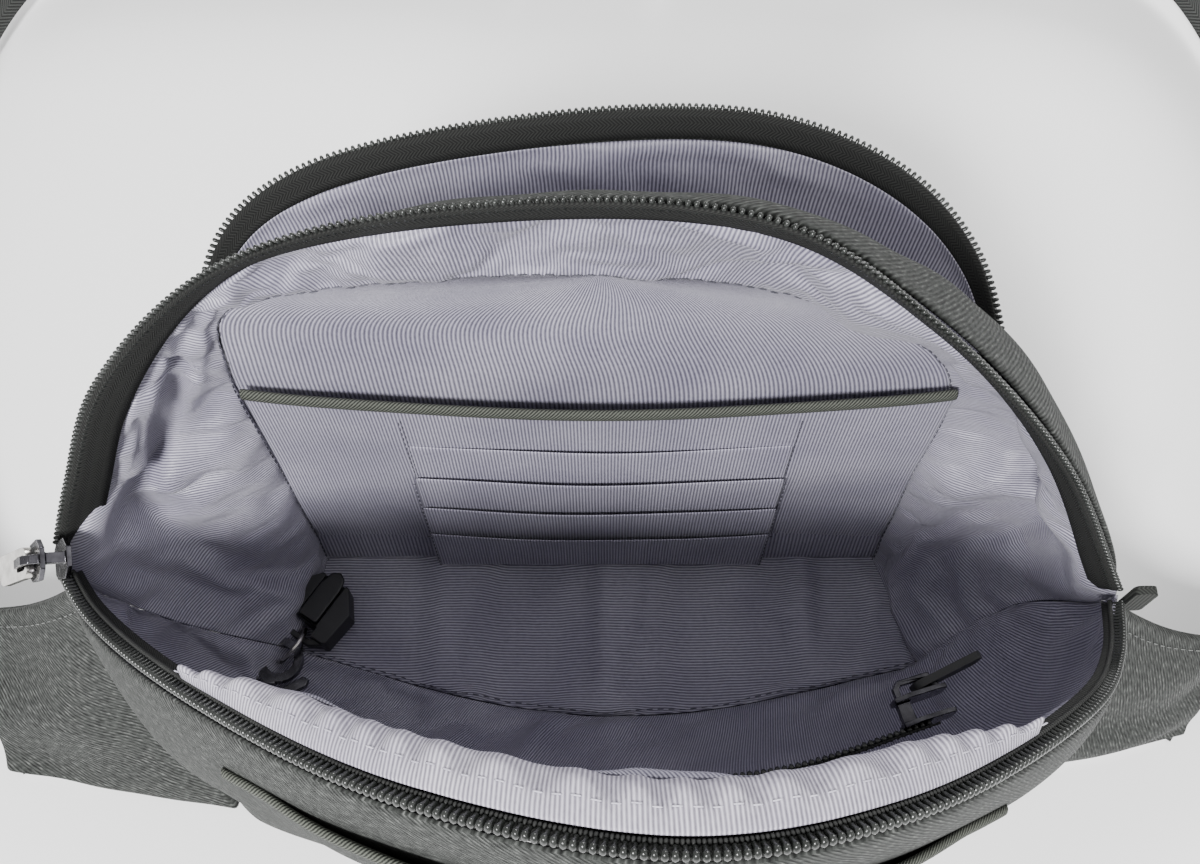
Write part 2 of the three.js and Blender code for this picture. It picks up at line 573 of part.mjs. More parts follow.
const LIGHT_HALF_HEIGHT = 4;
const lightShape = outline([
  [7.2, -4], [10, -8.6], [20, -9.4], [26, -4.5], [26, 4.5], [20, 9.4], [10, 8.6], [7.2, 4],
]);
const lightBlank = centred(lightShape, 2 * LIGHT_HALF_HEIGHT);
const ringSlot = box(3.4, 7.4, 12, 10.5, 0, 0);
const lugFaces = [1, -1].map((side) => box(6, 20, 4, 6.4, 0, 3.6 * side)); // leave a thin bar for the ring
const tongueChannel = box(20, 6.8, 4, 22.6, 0, 3.6);
addMesh('key_light', cut(lightBlank, ringSlot, tongueChannel, ...lugFaces), 'plastic', lightFrame);
const tongueShape = outline([[13, -3], [24, -3], [27.4, -2], [28.4, 0], [27.4, 2], [24, 3], [13, 3]]);
addMesh('light_tongue', plate(tongueShape, 1.8).translate(0, 0, 3), 'plastic', lightFrame);

export default group;
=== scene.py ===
# %% [markdown]
# # A hip-worn money belt, standing open
# The bag is a sewn shell: heather face fabric outside, lavender-grey nylon lining inside, and two
# long coil zips. Everything sewn here follows a few edges, such as the zip's two rims, so each
# piece of cloth is lofted between two of those edges and then given its folds.

# %% Load the fixed frame
import math

import bpy
import numpy as np
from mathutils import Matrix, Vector


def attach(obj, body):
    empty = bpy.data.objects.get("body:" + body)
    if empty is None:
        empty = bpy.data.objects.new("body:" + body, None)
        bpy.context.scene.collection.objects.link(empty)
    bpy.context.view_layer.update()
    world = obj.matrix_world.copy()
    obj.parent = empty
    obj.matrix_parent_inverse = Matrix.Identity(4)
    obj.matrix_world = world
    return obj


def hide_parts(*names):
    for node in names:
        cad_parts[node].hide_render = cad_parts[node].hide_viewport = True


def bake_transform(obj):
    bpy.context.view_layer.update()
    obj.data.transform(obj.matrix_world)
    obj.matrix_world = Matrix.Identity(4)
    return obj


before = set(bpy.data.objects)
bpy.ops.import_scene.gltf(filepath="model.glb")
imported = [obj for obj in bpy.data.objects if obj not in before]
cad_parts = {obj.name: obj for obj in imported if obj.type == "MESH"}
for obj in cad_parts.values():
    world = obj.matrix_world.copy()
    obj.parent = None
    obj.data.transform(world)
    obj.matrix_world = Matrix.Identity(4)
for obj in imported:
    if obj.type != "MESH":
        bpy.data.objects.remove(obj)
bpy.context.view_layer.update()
MM = 0.001

# %% [markdown]
# ## The studio
# The camera looks down into the open mouth, over the front rim. A smaller key light from the
# front left draws the folds, and two larger, weaker lights fill their shadows.

# %% Camera, floor and lights
scene = bpy.context.scene
camera = bpy.data.objects.new("camera", bpy.data.cameras.new("camera"))
scene.collection.objects.link(camera)
scene.camera = camera
camera.location = (0, -0.1265, 0.3583)
camera.rotation_euler = (math.radians(25.2), 0, 0)
camera.data.sensor_width = 36
camera.data.lens = 38.7
camera.data.clip_start = 0.01


def soft_light(name, place, target, size, watts):
    """A square area light that faces a target. A larger square gives a softer shadow."""
    light = bpy.data.lights.new(name, "AREA")
    light.size = size
    light.energy = watts
    lamp = bpy.data.objects.new(name, light)
    lamp.location = place
    aim = Vector(target) - Vector(place)
    lamp.rotation_euler = aim.to_track_quat("-Z", "Y").to_euler()
    scene.collection.objects.link(lamp)


soft_light("key_light", (-0.30, -0.80, 1.0), (0, 0, 0.05), 0.26, 34)
soft_light("fill_light", (0.9, -0.2, 0.8), (0, 0, 0.05), 0.8, 3.0)
soft_light("back_light", (0.35, 0.95, 0.8), (0, 0, 0.08), 0.5, 11.0)
print("camera", round(camera.data.lens, 1), "mm lens, lights", len(bpy.data.lights))

# %% [markdown]
# ## Colours and nodes
# Cloth colours are easiest to pick as sRGB hex values, as a colour picker gives them, but shaders
# work in linear light. One function converts them, and one small function adds a node, sets it
# up and links its inputs, which keeps each finish below short enough to read.


# %% Colour and node helpers
def linear(hex_colour):
    """Turns an sRGB hex string into a linear RGBA tuple."""
    channels = [int(hex_colour[i:i + 2], 16) / 255 for i in (1, 3, 5)]
    return (*[c / 12.92 if c <= 0.04045 else ((c + 0.055) / 1.055) ** 2.4 for c in channels], 1.0)


def add(tree, kind, inputs=None, **settings):
    """Adds a node to a tree. An input is either a value or the socket that feeds it."""
    node = tree.nodes.new(kind)
    for name, value in settings.items():
        setattr(node, name, value)
    for name, value in (inputs or {}).items():
        if isinstance(value, bpy.types.NodeSocket):
            tree.links.new(value, node.inputs[name])
        else:
            node.inputs[name].default_value = value
    return node


def new_material(name, **shader_values):
    """A material with one Principled shader, whose even values are set on its own sockets."""
    material = bpy.data.materials.new(name)
    material.use_nodes = True
    tree = material.node_tree
    shader = tree.nodes["Principled BSDF"]
    for socket, value in shader_values.items():
        shader.inputs[socket.replace("_", " ")].default_value = value
    return material, tree, shader


def ramp(tree, factor, *stops):
    """A colour ramp from (position, hex colour) stops."""
    node = add(tree, "ShaderNodeValToRGB", {"Fac": factor})
    elements = node.color_ramp.elements
    while len(elements) < len(stops):
        elements.new(0.5)
    for element, (position, colour) in zip(elements, stops):
        element.position = position
        element.color = linear(colour)
    return node.outputs["Color"]


def bands(tree, vector, pitch_mm, direction="X", wobble=0.0, wobble_mm=30.0):
    """Even bands, pitch_mm apart, across one axis of a vector in metres."""
    return add(tree, "ShaderNodeTexWave", {
        "Vector": vector, "Scale": math.pi / 10 / (pitch_mm * MM), "Distortion": wobble,
        "Detail": 1.0, "Detail Scale": pitch_mm / wobble_mm * 3,
    }, bands_direction=direction).outputs["Fac"]


def noise(tree, vector, size_mm, detail=2.0):
    """Soft noise whose blotches are about size_mm across."""
    return add(tree, "ShaderNodeTexNoise", {
        "Vector": vector, "Scale": 1 / (size_mm * MM), "Detail": detail,
    }).outputs["Fac"]


def stretch(tree, vector, scale, turn=0.0):
    """Turns a pattern by an angle in degrees and stretches it."""
    return add(tree, "ShaderNodeMapping", {
        "Vector": vector, "Rotation": (0, 0, math.radians(turn)), "Scale": scale,
    }).outputs["Vector"]


def math_node(tree, operation, a, b=0.5):
    return add(tree, "ShaderNodeMath", {0: a, 1: b}, operation=operation).outputs[0]


def blend_colours(tree, factor, a, b, kind="MIX"):
    node = add(tree, "ShaderNodeMix", data_type="RGBA", blend_type=kind)
    for socket, value in ((node.inputs[0], factor), (node.inputs[6], a), (node.inputs[7], b)):
        if isinstance(value, bpy.types.NodeSocket):
            tree.links.new(value, socket)
        else:
            socket.default_value = value
    return node.outputs[2]


def relief(tree, shader, height, depth_mm, strength=1.0):
    """Feeds a height from 0 to 1 into the shader's normal, as a bump of depth_mm."""
    bump = add(tree, "ShaderNodeBump", {"Height": height, "Distance": depth_mm * MM, "Strength": strength})
    tree.links.new(bump.outputs["Normal"], shader.inputs["Normal"])


def uv(tree):
    return add(tree, "ShaderNodeTexCoord").outputs["UV"]


def spot(tree):
    return add(tree, "ShaderNodeTexCoord").outputs["Object"]


# %% [markdown]
# ## The lining: nylon twill
# The lining is a light nylon twill. Its filament yarn is smooth, so it shines softly along the
# tops of fine ribs and goes dark between them. Its colour ramp paints that light in: a painted
# highlight on the rib tops and a painted shade between them. Real ribs are about 0.6 mm apart.
# They are drawn 0.8 mm apart here, because finer ones would blur away at this distance.


# %% Lining finish
def lining_twill_painted_ribs(name, turn=0.0, middle="#8e8b99", top="#bdbac7", low="#575463"):
    material, tree, shader = new_material(
        name, Roughness=0.38, Specular_IOR_Level=0.5, Sheen_Weight=0.1, Sheen_Roughness=0.4)
    cloth_uv = stretch(tree, uv(tree), (1, 1, 1), turn)
    ribs = bands(tree, cloth_uv, 0.8, wobble=1.6)
    picks = noise(tree, stretch(tree, cloth_uv, (1.0, 0.35, 1)), 0.5)
    height = math_node(tree, "MULTIPLY_ADD", picks, 0.45)
    tree.links.new(ribs, height.node.inputs[2])
    # Painted light: top is a painted highlight on the rib tops, and low a painted shade between ribs.
    colour = ramp(tree, math_node(tree, "MULTIPLY", height, 0.75), (0.1, low), (0.5, middle), (0.95, top))
    shade = ramp(tree, noise(tree, spot(tree), 24, 3), (0.3, "#dcdbe2"), (0.7, "#ffffff"))
    tree.links.new(blend_colours(tree, 1.0, colour, shade, "MULTIPLY"), shader.inputs["Base Color"])
    relief(tree, shader, height, 0.16, 0.9)
    return material


lining = lining_twill_painted_ribs("lavender_nylon_twill")
lining_across = lining_twill_painted_ribs("lavender_nylon_twill_turned", turn=90.0)
# The facing is the same twill in lighter colours: a painted highlight for the strong light that falls on
# the band below the zip.
facing = lining_twill_painted_ribs("nylon_facing_painted_highlight", middle="#a5a1ad", top="#cfcbd6", low="#6e6975")

# %% [markdown]
# ## The face fabric: heather polyester twill
# Heather cloth is woven from dark and light yarns, so its colour is a salt-and-pepper mix that
# follows the diagonal ribs of the twill. Long thin noise gives each yarn its own tone. The
# diagonal bands give each rib its bump, and they also lighten the colour along the rib: a painted
# highlight where the rib catches the light.

# %% Face fabric finish
def heather_twill(name, turn=38.0):
    material, tree, shader = new_material(name, Roughness=0.88, Specular_IOR_Level=0.18, Sheen_Weight=0.05)
    turned = stretch(tree, uv(tree), (1, 1, 1), turn)
    ribs = bands(tree, turned, 0.95, wobble=2.2, wobble_mm=8)
    yarns = noise(tree, stretch(tree, turned, (1, 0.28, 1)), 0.62, 3)
    coarse = noise(tree, stretch(tree, uv(tree), (0.4, 1, 1)), 2.2)
    tone = math_node(tree, "MULTIPLY_ADD", yarns, 0.8)
    # Painted highlight: the rib bands lighten the tone along each rib.
    tree.links.new(math_node(tree, "MULTIPLY", ribs, 0.17), tone.node.inputs[2])
    tone = math_node(tree, "ADD", tone, math_node(tree, "MULTIPLY", coarse, 0.12))
    colour = ramp(tree, tone, (0.36, "#131413"), (0.50, "#292b29"), (0.64, "#3c3e3c"), (0.80, "#656764"))
    tree.links.new(colour, shader.inputs["Base Color"])
    relief(tree, shader, math_node(tree, "ADD", ribs, math_node(tree, "MULTIPLY", yarns, 0.8)), 0.22, 0.9)
    return material


heather = heather_twill("heather_polyester_twill")


# %% [markdown]
# ## Tapes, webbing and binding
# Zip tape is a thin herringbone weave, binding is a narrow grosgrain with a rib across it, and
# webbing is thick yarn in a coarse chevron. All three are dark polyester and hardly shine.

# %% Narrow fabric finishes
def narrow_weave(name, dark, light, pitch_mm, depth_mm, chevron_mm, place=uv):
    """A narrow woven band: V runs across it, and the ribs turn every chevron_mm."""
    material, tree, shader = new_material(name, Roughness=0.82, Specular_IOR_Level=0.3)
    parts = add(tree, "ShaderNodeSeparateXYZ", {"Vector": place(tree)})
    zigzag = math_node(tree, "PINGPONG", parts.outputs["Y"], chevron_mm * MM)
    slant = math_node(tree, "ADD", parts.outputs["X"], zigzag)
    vector = add(tree, "ShaderNodeCombineXYZ", {"X": slant}).outputs[0]
    ribs = bands(tree, vector, pitch_mm)
    fuzz = noise(tree, place(tree), 0.45, 2)
    ribs = math_node(tree, "MULTIPLY", ribs, 0.6)
    tone = math_node(tree, "ADD", ribs, math_node(tree, "MULTIPLY", fuzz, 0.5))
    tree.links.new(ramp(tree, tone, (0.25, dark), (0.85, light)), shader.inputs["Base Color"])
    relief(tree, shader, tone, depth_mm)
    return material


zip_tape = narrow_weave("herringbone_zip_tape", "#080808", "#242523", 0.9, 0.15, 1.6)
grosgrain = narrow_weave("grosgrain_binding", "#171916", "#5a5d55", 0.85, 0.25, 50.0)
webbing = narrow_weave("polyester_webbing", "#191a19", "#4c4e4c", 1.5, 0.4, 4.7)
tab_tape = narrow_weave("herringbone_tape_tab", "#0c0d0c", "#2f312e", 0.9, 0.15, 1.6, spot)
strap_webbing = narrow_weave("narrow_polyester_webbing", "#191a19", "#4c4e4c", 1.2, 0.3, 3.0, spot)


# %% [markdown]
# ## Hard finishes
# The zip's coil is bent from nylon monofilament, smooth with small bright glints. The buckle and
# the small light are moulded with a fine matt grain. The clip and the sliders are plated: black
# nickel is a dark mirror, and bright nickel a pale one with faint polishing marks.

# %% Hard finishes
def moulded(name, colour, roughness, grain_mm, grain_depth_mm, worn):
    material, tree, shader = new_material(name, Roughness=roughness, Specular_IOR_Level=0.5)
    grain = noise(tree, spot(tree), grain_mm, 2)
    tint = ramp(tree, noise(tree, spot(tree), 9, 3), (0.35, colour), (0.8, worn))
    tree.links.new(tint, shader.inputs["Base Color"])
    gloss = add(tree, "ShaderNodeMapRange", {
        "Value": grain, "To Min": roughness * 0.8, "To Max": min(roughness * 1.2, 1),
    }).outputs[0]
    tree.links.new(gloss, shader.inputs["Roughness"])
    relief(tree, shader, grain, grain_depth_mm, 0.6)
    return material


def plated(name, colour, tarnish, roughness):
    material, tree, shader = new_material(name, Metallic=1.0, Roughness=roughness)
    polish = noise(tree, stretch(tree, spot(tree), (1, 0.12, 0.5)), 0.4, 3)
    cloud = noise(tree, spot(tree), 3, 3)
    tree.links.new(ramp(tree, cloud, (0.3, colour), (0.75, tarnish)), shader.inputs["Base Color"])
    gloss = add(tree, "ShaderNodeMapRange", {
        "Value": polish, "To Min": roughness * 0.6, "To Max": roughness * 1.6,
    }).outputs[0]
    tree.links.new(gloss, shader.inputs["Roughness"])
    relief(tree, shader, polish, 0.01, 0.5)
    return material


coil_nylon = moulded("nylon_monofilament_coil", "#1c1e1c", 0.26, 0.35, 0.02, "#2e302e")
acetal = moulded("matt_black_acetal", "#161618", 0.45, 0.25, 0.03, "#242426")
rubber = moulded("black_rubber", "#1b1b1c", 0.62, 0.3, 0.03, "#2a2a2b")
dark_thread = moulded("dark_polyester_thread", "#3a3a41", 0.7, 0.2, 0.03, "#55545e")
pale_thread = moulded("pale_polyester_thread", "#a5a2af", 0.6, 0.2, 0.03, "#cac7d2")
cord_thread = moulded("zip_edge_cord", "#101110", 0.75, 0.2, 0.03, "#242523")
grey_thread = moulded("grey_polyester_thread", "#5f605f", 0.7, 0.2, 0.03, "#7b7d7a")
bright_nickel = plated("polished_nickel", "#c4c2be", "#96938e", 0.2)
black_nickel = plated("black_nickel_plate", "#5b5a5f", "#37363a", 0.22)

floor_material, floor_tree, floor_shader = new_material("pale_studio_floor", Roughness=0.7)
cloud = noise(floor_tree, spot(floor_tree), 300, 1)
floor_colour = ramp(floor_tree, cloud, (0.2, "#fafafa"), (0.8, "#fdfdfd"))
floor_tree.links.new(floor_colour, floor_shader.inputs["Base Color"])
bpy.ops.mesh.primitive_plane_add(size=8)
studio_floor = bpy.context.object
studio_floor.name = "studio_floor"
studio_floor.data.materials.append(floor_material)
world = bpy.data.worlds.new("studio")
scene.world = world
world.use_nodes = True
world.node_tree.nodes["Background"].inputs["Color"].default_value = (1, 1, 1, 1)
world.node_tree.nodes["Background"].inputs["Strength"].default_value = 0.8
print("materials", len(bpy.data.materials))

# %% [markdown]
# ## Edges of the bag
# A pattern cutter would start from the seams, and so does this model. Each edge is a smooth
# curve through a few points in millimetres, read from left to right, exactly as in the solid
# model, and every cloth panel is lofted between two of them.


# %% Curves through a few points
SPAN = 40


def smooth_curve(points, per_span=SPAN):
    """A centripetal Catmull-Rom curve, as a dense row of points: per_span steps between two of them."""
    p = np.array(points, float)
    p = np.vstack([2 * p[0] - p[1], p, 2 * p[-1] - p[-2]])
    spans = []
    for i in range(1, len(p) - 2):
        p0, p1, p2, p3 = p[i - 1:i + 3]
        d0, d1, d2 = (max(np.linalg.norm(b - a), 1e-6) ** 0.5 for a, b in ((p0, p1), (p1, p2), (p2, p3)))
        m1 = ((p1 - p0) / d0 - (p2 - p0) / (d0 + d1) + (p2 - p1) / d1) * d1
        m2 = ((p2 - p1) / d1 - (p3 - p1) / (d1 + d2) + (p3 - p2) / d2) * d1
        t = np.linspace(0, 1, per_span, endpoint=False)[:, None]
        square = t ** 2 * (3 * (p2 - p1) - 2 * m1 - m2)
        cube = t ** 3 * (2 * (p1 - p2) + m1 + m2)
        spans.append(p1 + t * m1 + square + cube)
    return np.vstack([*spans, p[-2:-1]])


def lengths(curve):
    return np.r_[0, np.cumsum(np.linalg.norm(np.diff(curve, axis=0), axis=1))]


def at(curve, share):
    """Points at shares of the curve's length, from 0 to 1."""
    run = lengths(curve)
    return np.stack([np.interp(np.asarray(share) * run[-1], run, curve[:, k]) for k in range(3)], -1)


def share_at(curve, axis, value):
    """The share of the length at which a curve that runs left to right reaches a value."""
    run = lengths(curve)
    return float(np.interp(value, curve[:, axis], run / run[-1]))


ZIP_LEFT, ZIP_RIGHT = [-125, -27, 77], [118, -35, 77]
BASE_LEFT, BASE_RIGHT = [-112, -31, 4], [112, -33, 4]
FLOOR_LEFT, FLOOR_RIGHT = [-84, -28, 5], [88, -33, 8]
TOP_ARC = [
    [-115, -17, 100], [-100, -8, 129], [-68, 1, 159], [-20, 3, 174],
    [30, -4, 179], [58, -15, 165], [90, -24, 128],
]
REAR_ARC = [[-98, 8, 98], [-60, 10, 140], [0, 11, 157], [40, 11, 153], [83, 11, 119]]
REAR_LEFT, REAR_RIGHT = [-104, 7, 62], [104, 7, 62]
rear_rim = smooth_curve([ZIP_LEFT, *TOP_ARC, ZIP_RIGHT])
front_rim = smooth_curve([
    ZIP_LEFT, [-110, -44, 91], [-73, -71, 125], [-30, -93, 152], [13, -102, 162],
    [48, -95, 153], [91, -71, 120], [107, -55, 98], ZIP_RIGHT,
])
outer_rim = smooth_curve([
    BASE_LEFT, [-119, -29, 40], ZIP_LEFT, *TOP_ARC, ZIP_RIGHT, [116, -34, 40], BASE_RIGHT,
])
inner_rim = smooth_curve([
    FLOOR_LEFT, [-112, -29, 40], ZIP_LEFT, *TOP_ARC, ZIP_RIGHT, [106, -26, 40], FLOOR_RIGHT,
])
partition_edge = smooth_curve([
    [-80, 0, 4], [-81, 5, 50], [-81, 6, 112], [-75, 6, 135], [-45, 6, 145], [0, 6, 148],
    [34, 6, 143], [62, 6, 127], [78, 6, 104], [80, 5, 50], [80, 0, 4],
])
rear_gusset_edge = smooth_curve([
    [-99, 6, 4], [-103, 7, 35], REAR_LEFT, *REAR_ARC, REAR_RIGHT, [103, 7, 35], [99, 6, 4],
])
rear_zip_front = smooth_curve([REAR_LEFT, *REAR_ARC, REAR_RIGHT])
rear_zip_back = smooth_curve([
    [-103, 11, 62], [-98, 27, 84], [-88, 44, 105], [-68, 53, 117], [-9, 62, 125],
    [40, 63, 123], [70, 53, 116], [88, 41, 102], [98, 25, 82], [103, 11, 62],
])
rear_foot = smooth_curve([[-98, 8, 6], [-88, 12, 6], [0, 13, 6], [88, 12, 6], [98, 8, 6]])
base_front = smooth_curve([
    BASE_LEFT, [-103, -57, 4], [-72, -72, 4], [0, -79, 4], [72, -72, 4], [103, -57, 4], BASE_RIGHT,
])
facing_foot = smooth_curve([
    [-121, -25, 74], [-107, -38, 87], [-73, -60, 118], [-30, -80.5, 142.5], [13, -89.5, 152.5],
    [48, -82.5, 143.5], [91, -62, 113], [105, -50, 92], [114, -33, 74],
])
floor_middle = smooth_curve([FLOOR_LEFT, [-33, -42, 4], [0, -46, 3.6], [33, -44, 4], FLOOR_RIGHT])
floor_seam = np.vstack([inner_rim[SPAN:0:-1], floor_middle, inner_rim[-2:-SPAN - 2:-1]])
lining_belly = smooth_curve([
    [-119, -30, 57], [-116, -78, -14], [-88, -92, 2], [-44, -92, 55], [0, -98, 82],
    [40, -94, 70], [84, -78, 44], [104, -52, 48], [112, -31, 58],
])
print("zip halves", round(lengths(rear_rim)[-1]), "and", round(lengths(front_rim)[-1]), "mm")


# %% [markdown]
# ## Lofted cloth
# A loft is a grid of points between two edges. It keeps neat quads that follow the cloth, so the
# weave can follow them too: the UV map holds real distances in metres, and each weave above is
# sized in millimetres. Solidify then gives the cloth its thickness.

# %% Cloth helpers
def strip(top, foot, left=0.0, right=1.0, start=0.0, end=None, stop=0.0, step=2.5):
    """A grid from the top edge towards the foot edge. Distances are from the top edge.
    start and end may be functions of the share along the edge."""
    columns = max(4, round(lengths(top)[-1] * (right - left) / step))
    share = np.linspace(left, right, columns + 1)
    origin = at(top, share)
    along = at(foot, share) - origin
    reach = np.linalg.norm(along, axis=1, keepdims=True)
    start = start(share)[:, None] if callable(start) else np.full_like(reach, start)
    last = end(share)[:, None] if callable(end) else np.full_like(reach, end or 0)
    last = reach - stop if end is None else last
    rows = max(2, round(float(np.mean(last - start)) / step))
    distance = start + (last - start) * np.linspace(0, 1, rows + 1)
    return origin[:, None] + (along / reach)[:, None] * distance[..., None]


def grid_normals(grid):
    normal = np.cross(np.gradient(grid, axis=0), np.gradient(grid, axis=1))
    return normal / np.maximum(np.linalg.norm(normal, axis=-1, keepdims=True), 1e-9)


def shifted(grid, amount):
    """Moves each point along the grid's normal by an amount, or by an array of amounts."""
    return grid + grid_normals(grid) * np.broadcast_to(amount, grid.shape[:2])[..., None]


def shares(grid):
    """Two arrays that run from 0 to 1 along and across a grid."""
    return np.meshgrid(np.linspace(0, 1, grid.shape[0]), np.linspace(0, 1, grid.shape[1]), indexing="ij")


def sewn_to(grid, left_seam, right_seam, columns):
    """Puts a grid's two end columns on two seams, and eases the columns next to them."""
    share = np.linspace(0, 1, grid.shape[1])
    for column, line in ((0, left_seam), (grid.shape[0] - 1, right_seam)):
        miss = at(line, share) - grid[column]
        fade = np.clip(1 - np.abs(np.arange(grid.shape[0]) - column) / columns, 0, 1) ** 2
        grid = grid + fade[:, None, None] * miss
    return grid


def bump_at(value, centre, width):
    return np.exp(-((value - centre) / width) ** 2)


def rumple(grid, size_mm, seed):
    """Smooth seeded waves of about size_mm over a grid, from -1 to 1."""
    random = np.random.default_rng(seed)
    waves = np.zeros(grid.shape[:2])
    for _ in range(7):
        direction = random.normal(size=3)
        direction *= 2 * math.pi / (size_mm * random.uniform(0.7, 1.6)) / np.linalg.norm(direction)
        waves += np.sin(grid @ direction + random.uniform(0, 6.3))
    return waves / 4


def mesh_object(name, vertices, faces, material, smooth=True):
    name = "sewn_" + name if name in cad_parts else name
    mesh = bpy.data.meshes.new(name)
    mesh.from_pydata((np.asarray(vertices) * MM).tolist(), [], faces)
    mesh.materials.append(material)
    mesh.polygons.foreach_set("use_smooth", [smooth] * len(mesh.polygons))
    piece = bpy.data.objects.new(name, mesh)
    scene.collection.objects.link(piece)
    return piece


def cloth(name, grid, thickness, material, levels=1):
    """A piece of cloth over a grid, with real distances as its UV map and a live thickness."""
    columns, rows = grid.shape[:2]
    index = np.arange(columns * rows).reshape(columns, rows)
    corners = [index[:-1, :-1], index[1:, :-1], index[1:, 1:], index[:-1, 1:]]
    faces = np.stack(corners, -1).reshape(-1, 4)
    piece = mesh_object(name, grid.reshape(-1, 3), faces.tolist(), material)
    steps_u = np.linalg.norm(np.diff(grid, axis=0), axis=-1).mean(axis=1)
    u = np.repeat(np.r_[0, np.cumsum(steps_u)][:, None], rows, axis=1)
    steps_v = np.linalg.norm(np.diff(grid, axis=1), axis=-1)
    v = np.hstack([np.zeros((columns, 1)), np.cumsum(steps_v, axis=1)])
    table = np.stack([u, v], -1).reshape(-1, 2) * MM
    layer = piece.data.uv_layers.new(name="UVMap")
    layer.data.foreach_set("uv", table[faces.reshape(-1)].reshape(-1).astype(np.float32))
    solid = piece.modifiers.new("thickness", "SOLIDIFY")
    solid.thickness = thickness * MM
    solid.offset = 0
    solid.use_even_offset = False
    if levels:
        round_off = piece.modifiers.new("soft_edges", "SUBSURF")
        round_off.levels = levels
        round_off.render_levels = levels
    return piece


def sew(piece, place, slot, *nodes):
    """Bakes a front or rear piece in place, or fixes any other piece to a body, and hides the solid
    model's parts that it replaces.
    """
    if place == "front":
        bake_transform(piece)
    elif place == "rear":
        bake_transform(piece)
    else:
        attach(piece, place)
    if nodes:
        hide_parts(*nodes)
    return piece


# %% [markdown]
# ## Folds by simulation
# A sewn lining is always a little larger than the space it lines, and that spare cloth is what
# makes its folds. Cloth simulation gives the same: the borders are pinned where they are sewn,
# the cloth is told to be a few per cent longer than its grid, and it buckles by itself.

# %% Let a grid buckle
def buckle(name, grid, growth, cap, seed, frames=14, stiffness=6.0):
    """Returns the grid after its spare cloth has buckled. No point moves by more than cap mm."""
    start = shifted(grid, rumple(grid, 38, seed) * 0.8)
    edge = np.ones(grid.shape[:2], bool)
    edge[1:-1, 1:-1] = False
    start[edge] = grid[edge]
    piece = cloth(name, start, 0.5, lining, levels=0)
    piece.modifiers.clear()
    group = piece.vertex_groups.new(name="sewn")
    group.add(np.nonzero(edge.reshape(-1))[0].tolist(), 1.0, "REPLACE")
    simulation = piece.modifiers.new("cloth", "CLOTH")
    settings = simulation.settings
    settings.quality = 5
    settings.mass = 0.1
    settings.tension_stiffness = stiffness
    settings.compression_stiffness = stiffness
    settings.shear_stiffness = stiffness * 0.4
    settings.bending_stiffness = 0.25
    settings.air_damping = 4
    settings.vertex_group_mass = "sewn"
    settings.shrink_min = -growth
    settings.shrink_max = -growth
    settings.effector_weights.gravity = 0.03
    simulation.collision_settings.use_collision = False
    simulation.point_cache.frame_start = 1
    simulation.point_cache.frame_end = frames
    for number in range(1, frames + 1):
        scene.frame_set(number)
    evaluated = piece.evaluated_get(bpy.context.evaluated_depsgraph_get())
    moved = np.empty(len(evaluated.data.vertices) * 3)
    evaluated.data.vertices.foreach_get("co", moved)
    scene.frame_set(1)
    mesh = piece.data
    bpy.data.objects.remove(piece)
    bpy.data.meshes.remove(mesh)
    push = moved.reshape(grid.shape) / MM - grid
    length = np.maximum(np.linalg.norm(push, axis=-1, keepdims=True), 1e-9)
    push *= np.tanh(length / cap) * cap / length
    print(name, "moved by up to", round(float(np.linalg.norm(push, axis=-1).max()), 1), "mm")
    return grid + push


# %% [markdown]
# ## Teeth and stitches that follow a path
# A zip half has over two hundred equal teeth, and a seam has hundreds of equal stitches. Geometry
# Nodes lay one small shape along a path at an exact pitch. The path carries a vector that says
# which way the cloth faces, so that every tooth sits flat on its tape.

# %% The node tree that repeats a shape along a path
def build_repeat_tree():
    tree = bpy.data.node_groups.new("repeat_along_path", "GeometryNodeTree")
    interface = tree.interface
    interface.new_socket("Path", in_out="INPUT", socket_type="NodeSocketGeometry")
    interface.new_socket("Item", in_out="INPUT", socket_type="NodeSocketObject")
    interface.new_socket("Pitch", in_out="INPUT", socket_type="NodeSocketFloat")
    interface.new_socket("Finish", in_out="INPUT", socket_type="NodeSocketMaterial")
    interface.new_socket("Row", in_out="OUTPUT", socket_type="NodeSocketGeometry")
    given = add(tree, "NodeGroupInput")
    curve = add(tree, "GeometryNodeMeshToCurve", {"Mesh": given.outputs["Path"]})
    spaced = add(tree, "GeometryNodeResampleCurve", {
        "Curve": curve.outputs[0], "Length": given.outputs["Pitch"],
    }, mode="LENGTH")
    tangent = add(tree, "GeometryNodeInputTangent")
    facing_way = add(tree, "GeometryNodeInputNamedAttribute", {"Name": "facing"}, data_type="FLOAT_VECTOR")
    along = add(tree, "FunctionNodeAlignRotationToVector", {"Vector": tangent.outputs[0]}, axis="X")
    upright = add(tree, "FunctionNodeAlignRotationToVector", {
        "Rotation": along.outputs[0], "Vector": facing_way.outputs[0],
    }, axis="Z", pivot_axis="X")
    item = add(tree, "GeometryNodeObjectInfo", {"Object": given.outputs["Item"]})
    row = add(tree, "GeometryNodeInstanceOnPoints", {
        "Points": spaced.outputs[0], "Instance": item.outputs["Geometry"], "Rotation": upright.outputs[0],
    })
    real = add(tree, "GeometryNodeRealizeInstances", {"Geometry": row.outputs[0]})
    done = add(tree, "GeometryNodeSetMaterial", {
        "Geometry": real.outputs[0], "Material": given.outputs["Finish"],
    })
    result = add(tree, "NodeGroupOutput")
    tree.links.new(done.outputs[0], result.inputs["Row"])
    return tree


repeat_tree = build_repeat_tree()
socket_id = {s.name: s.identifier for s in repeat_tree.interface.items_tree if s.in_out == "INPUT"}


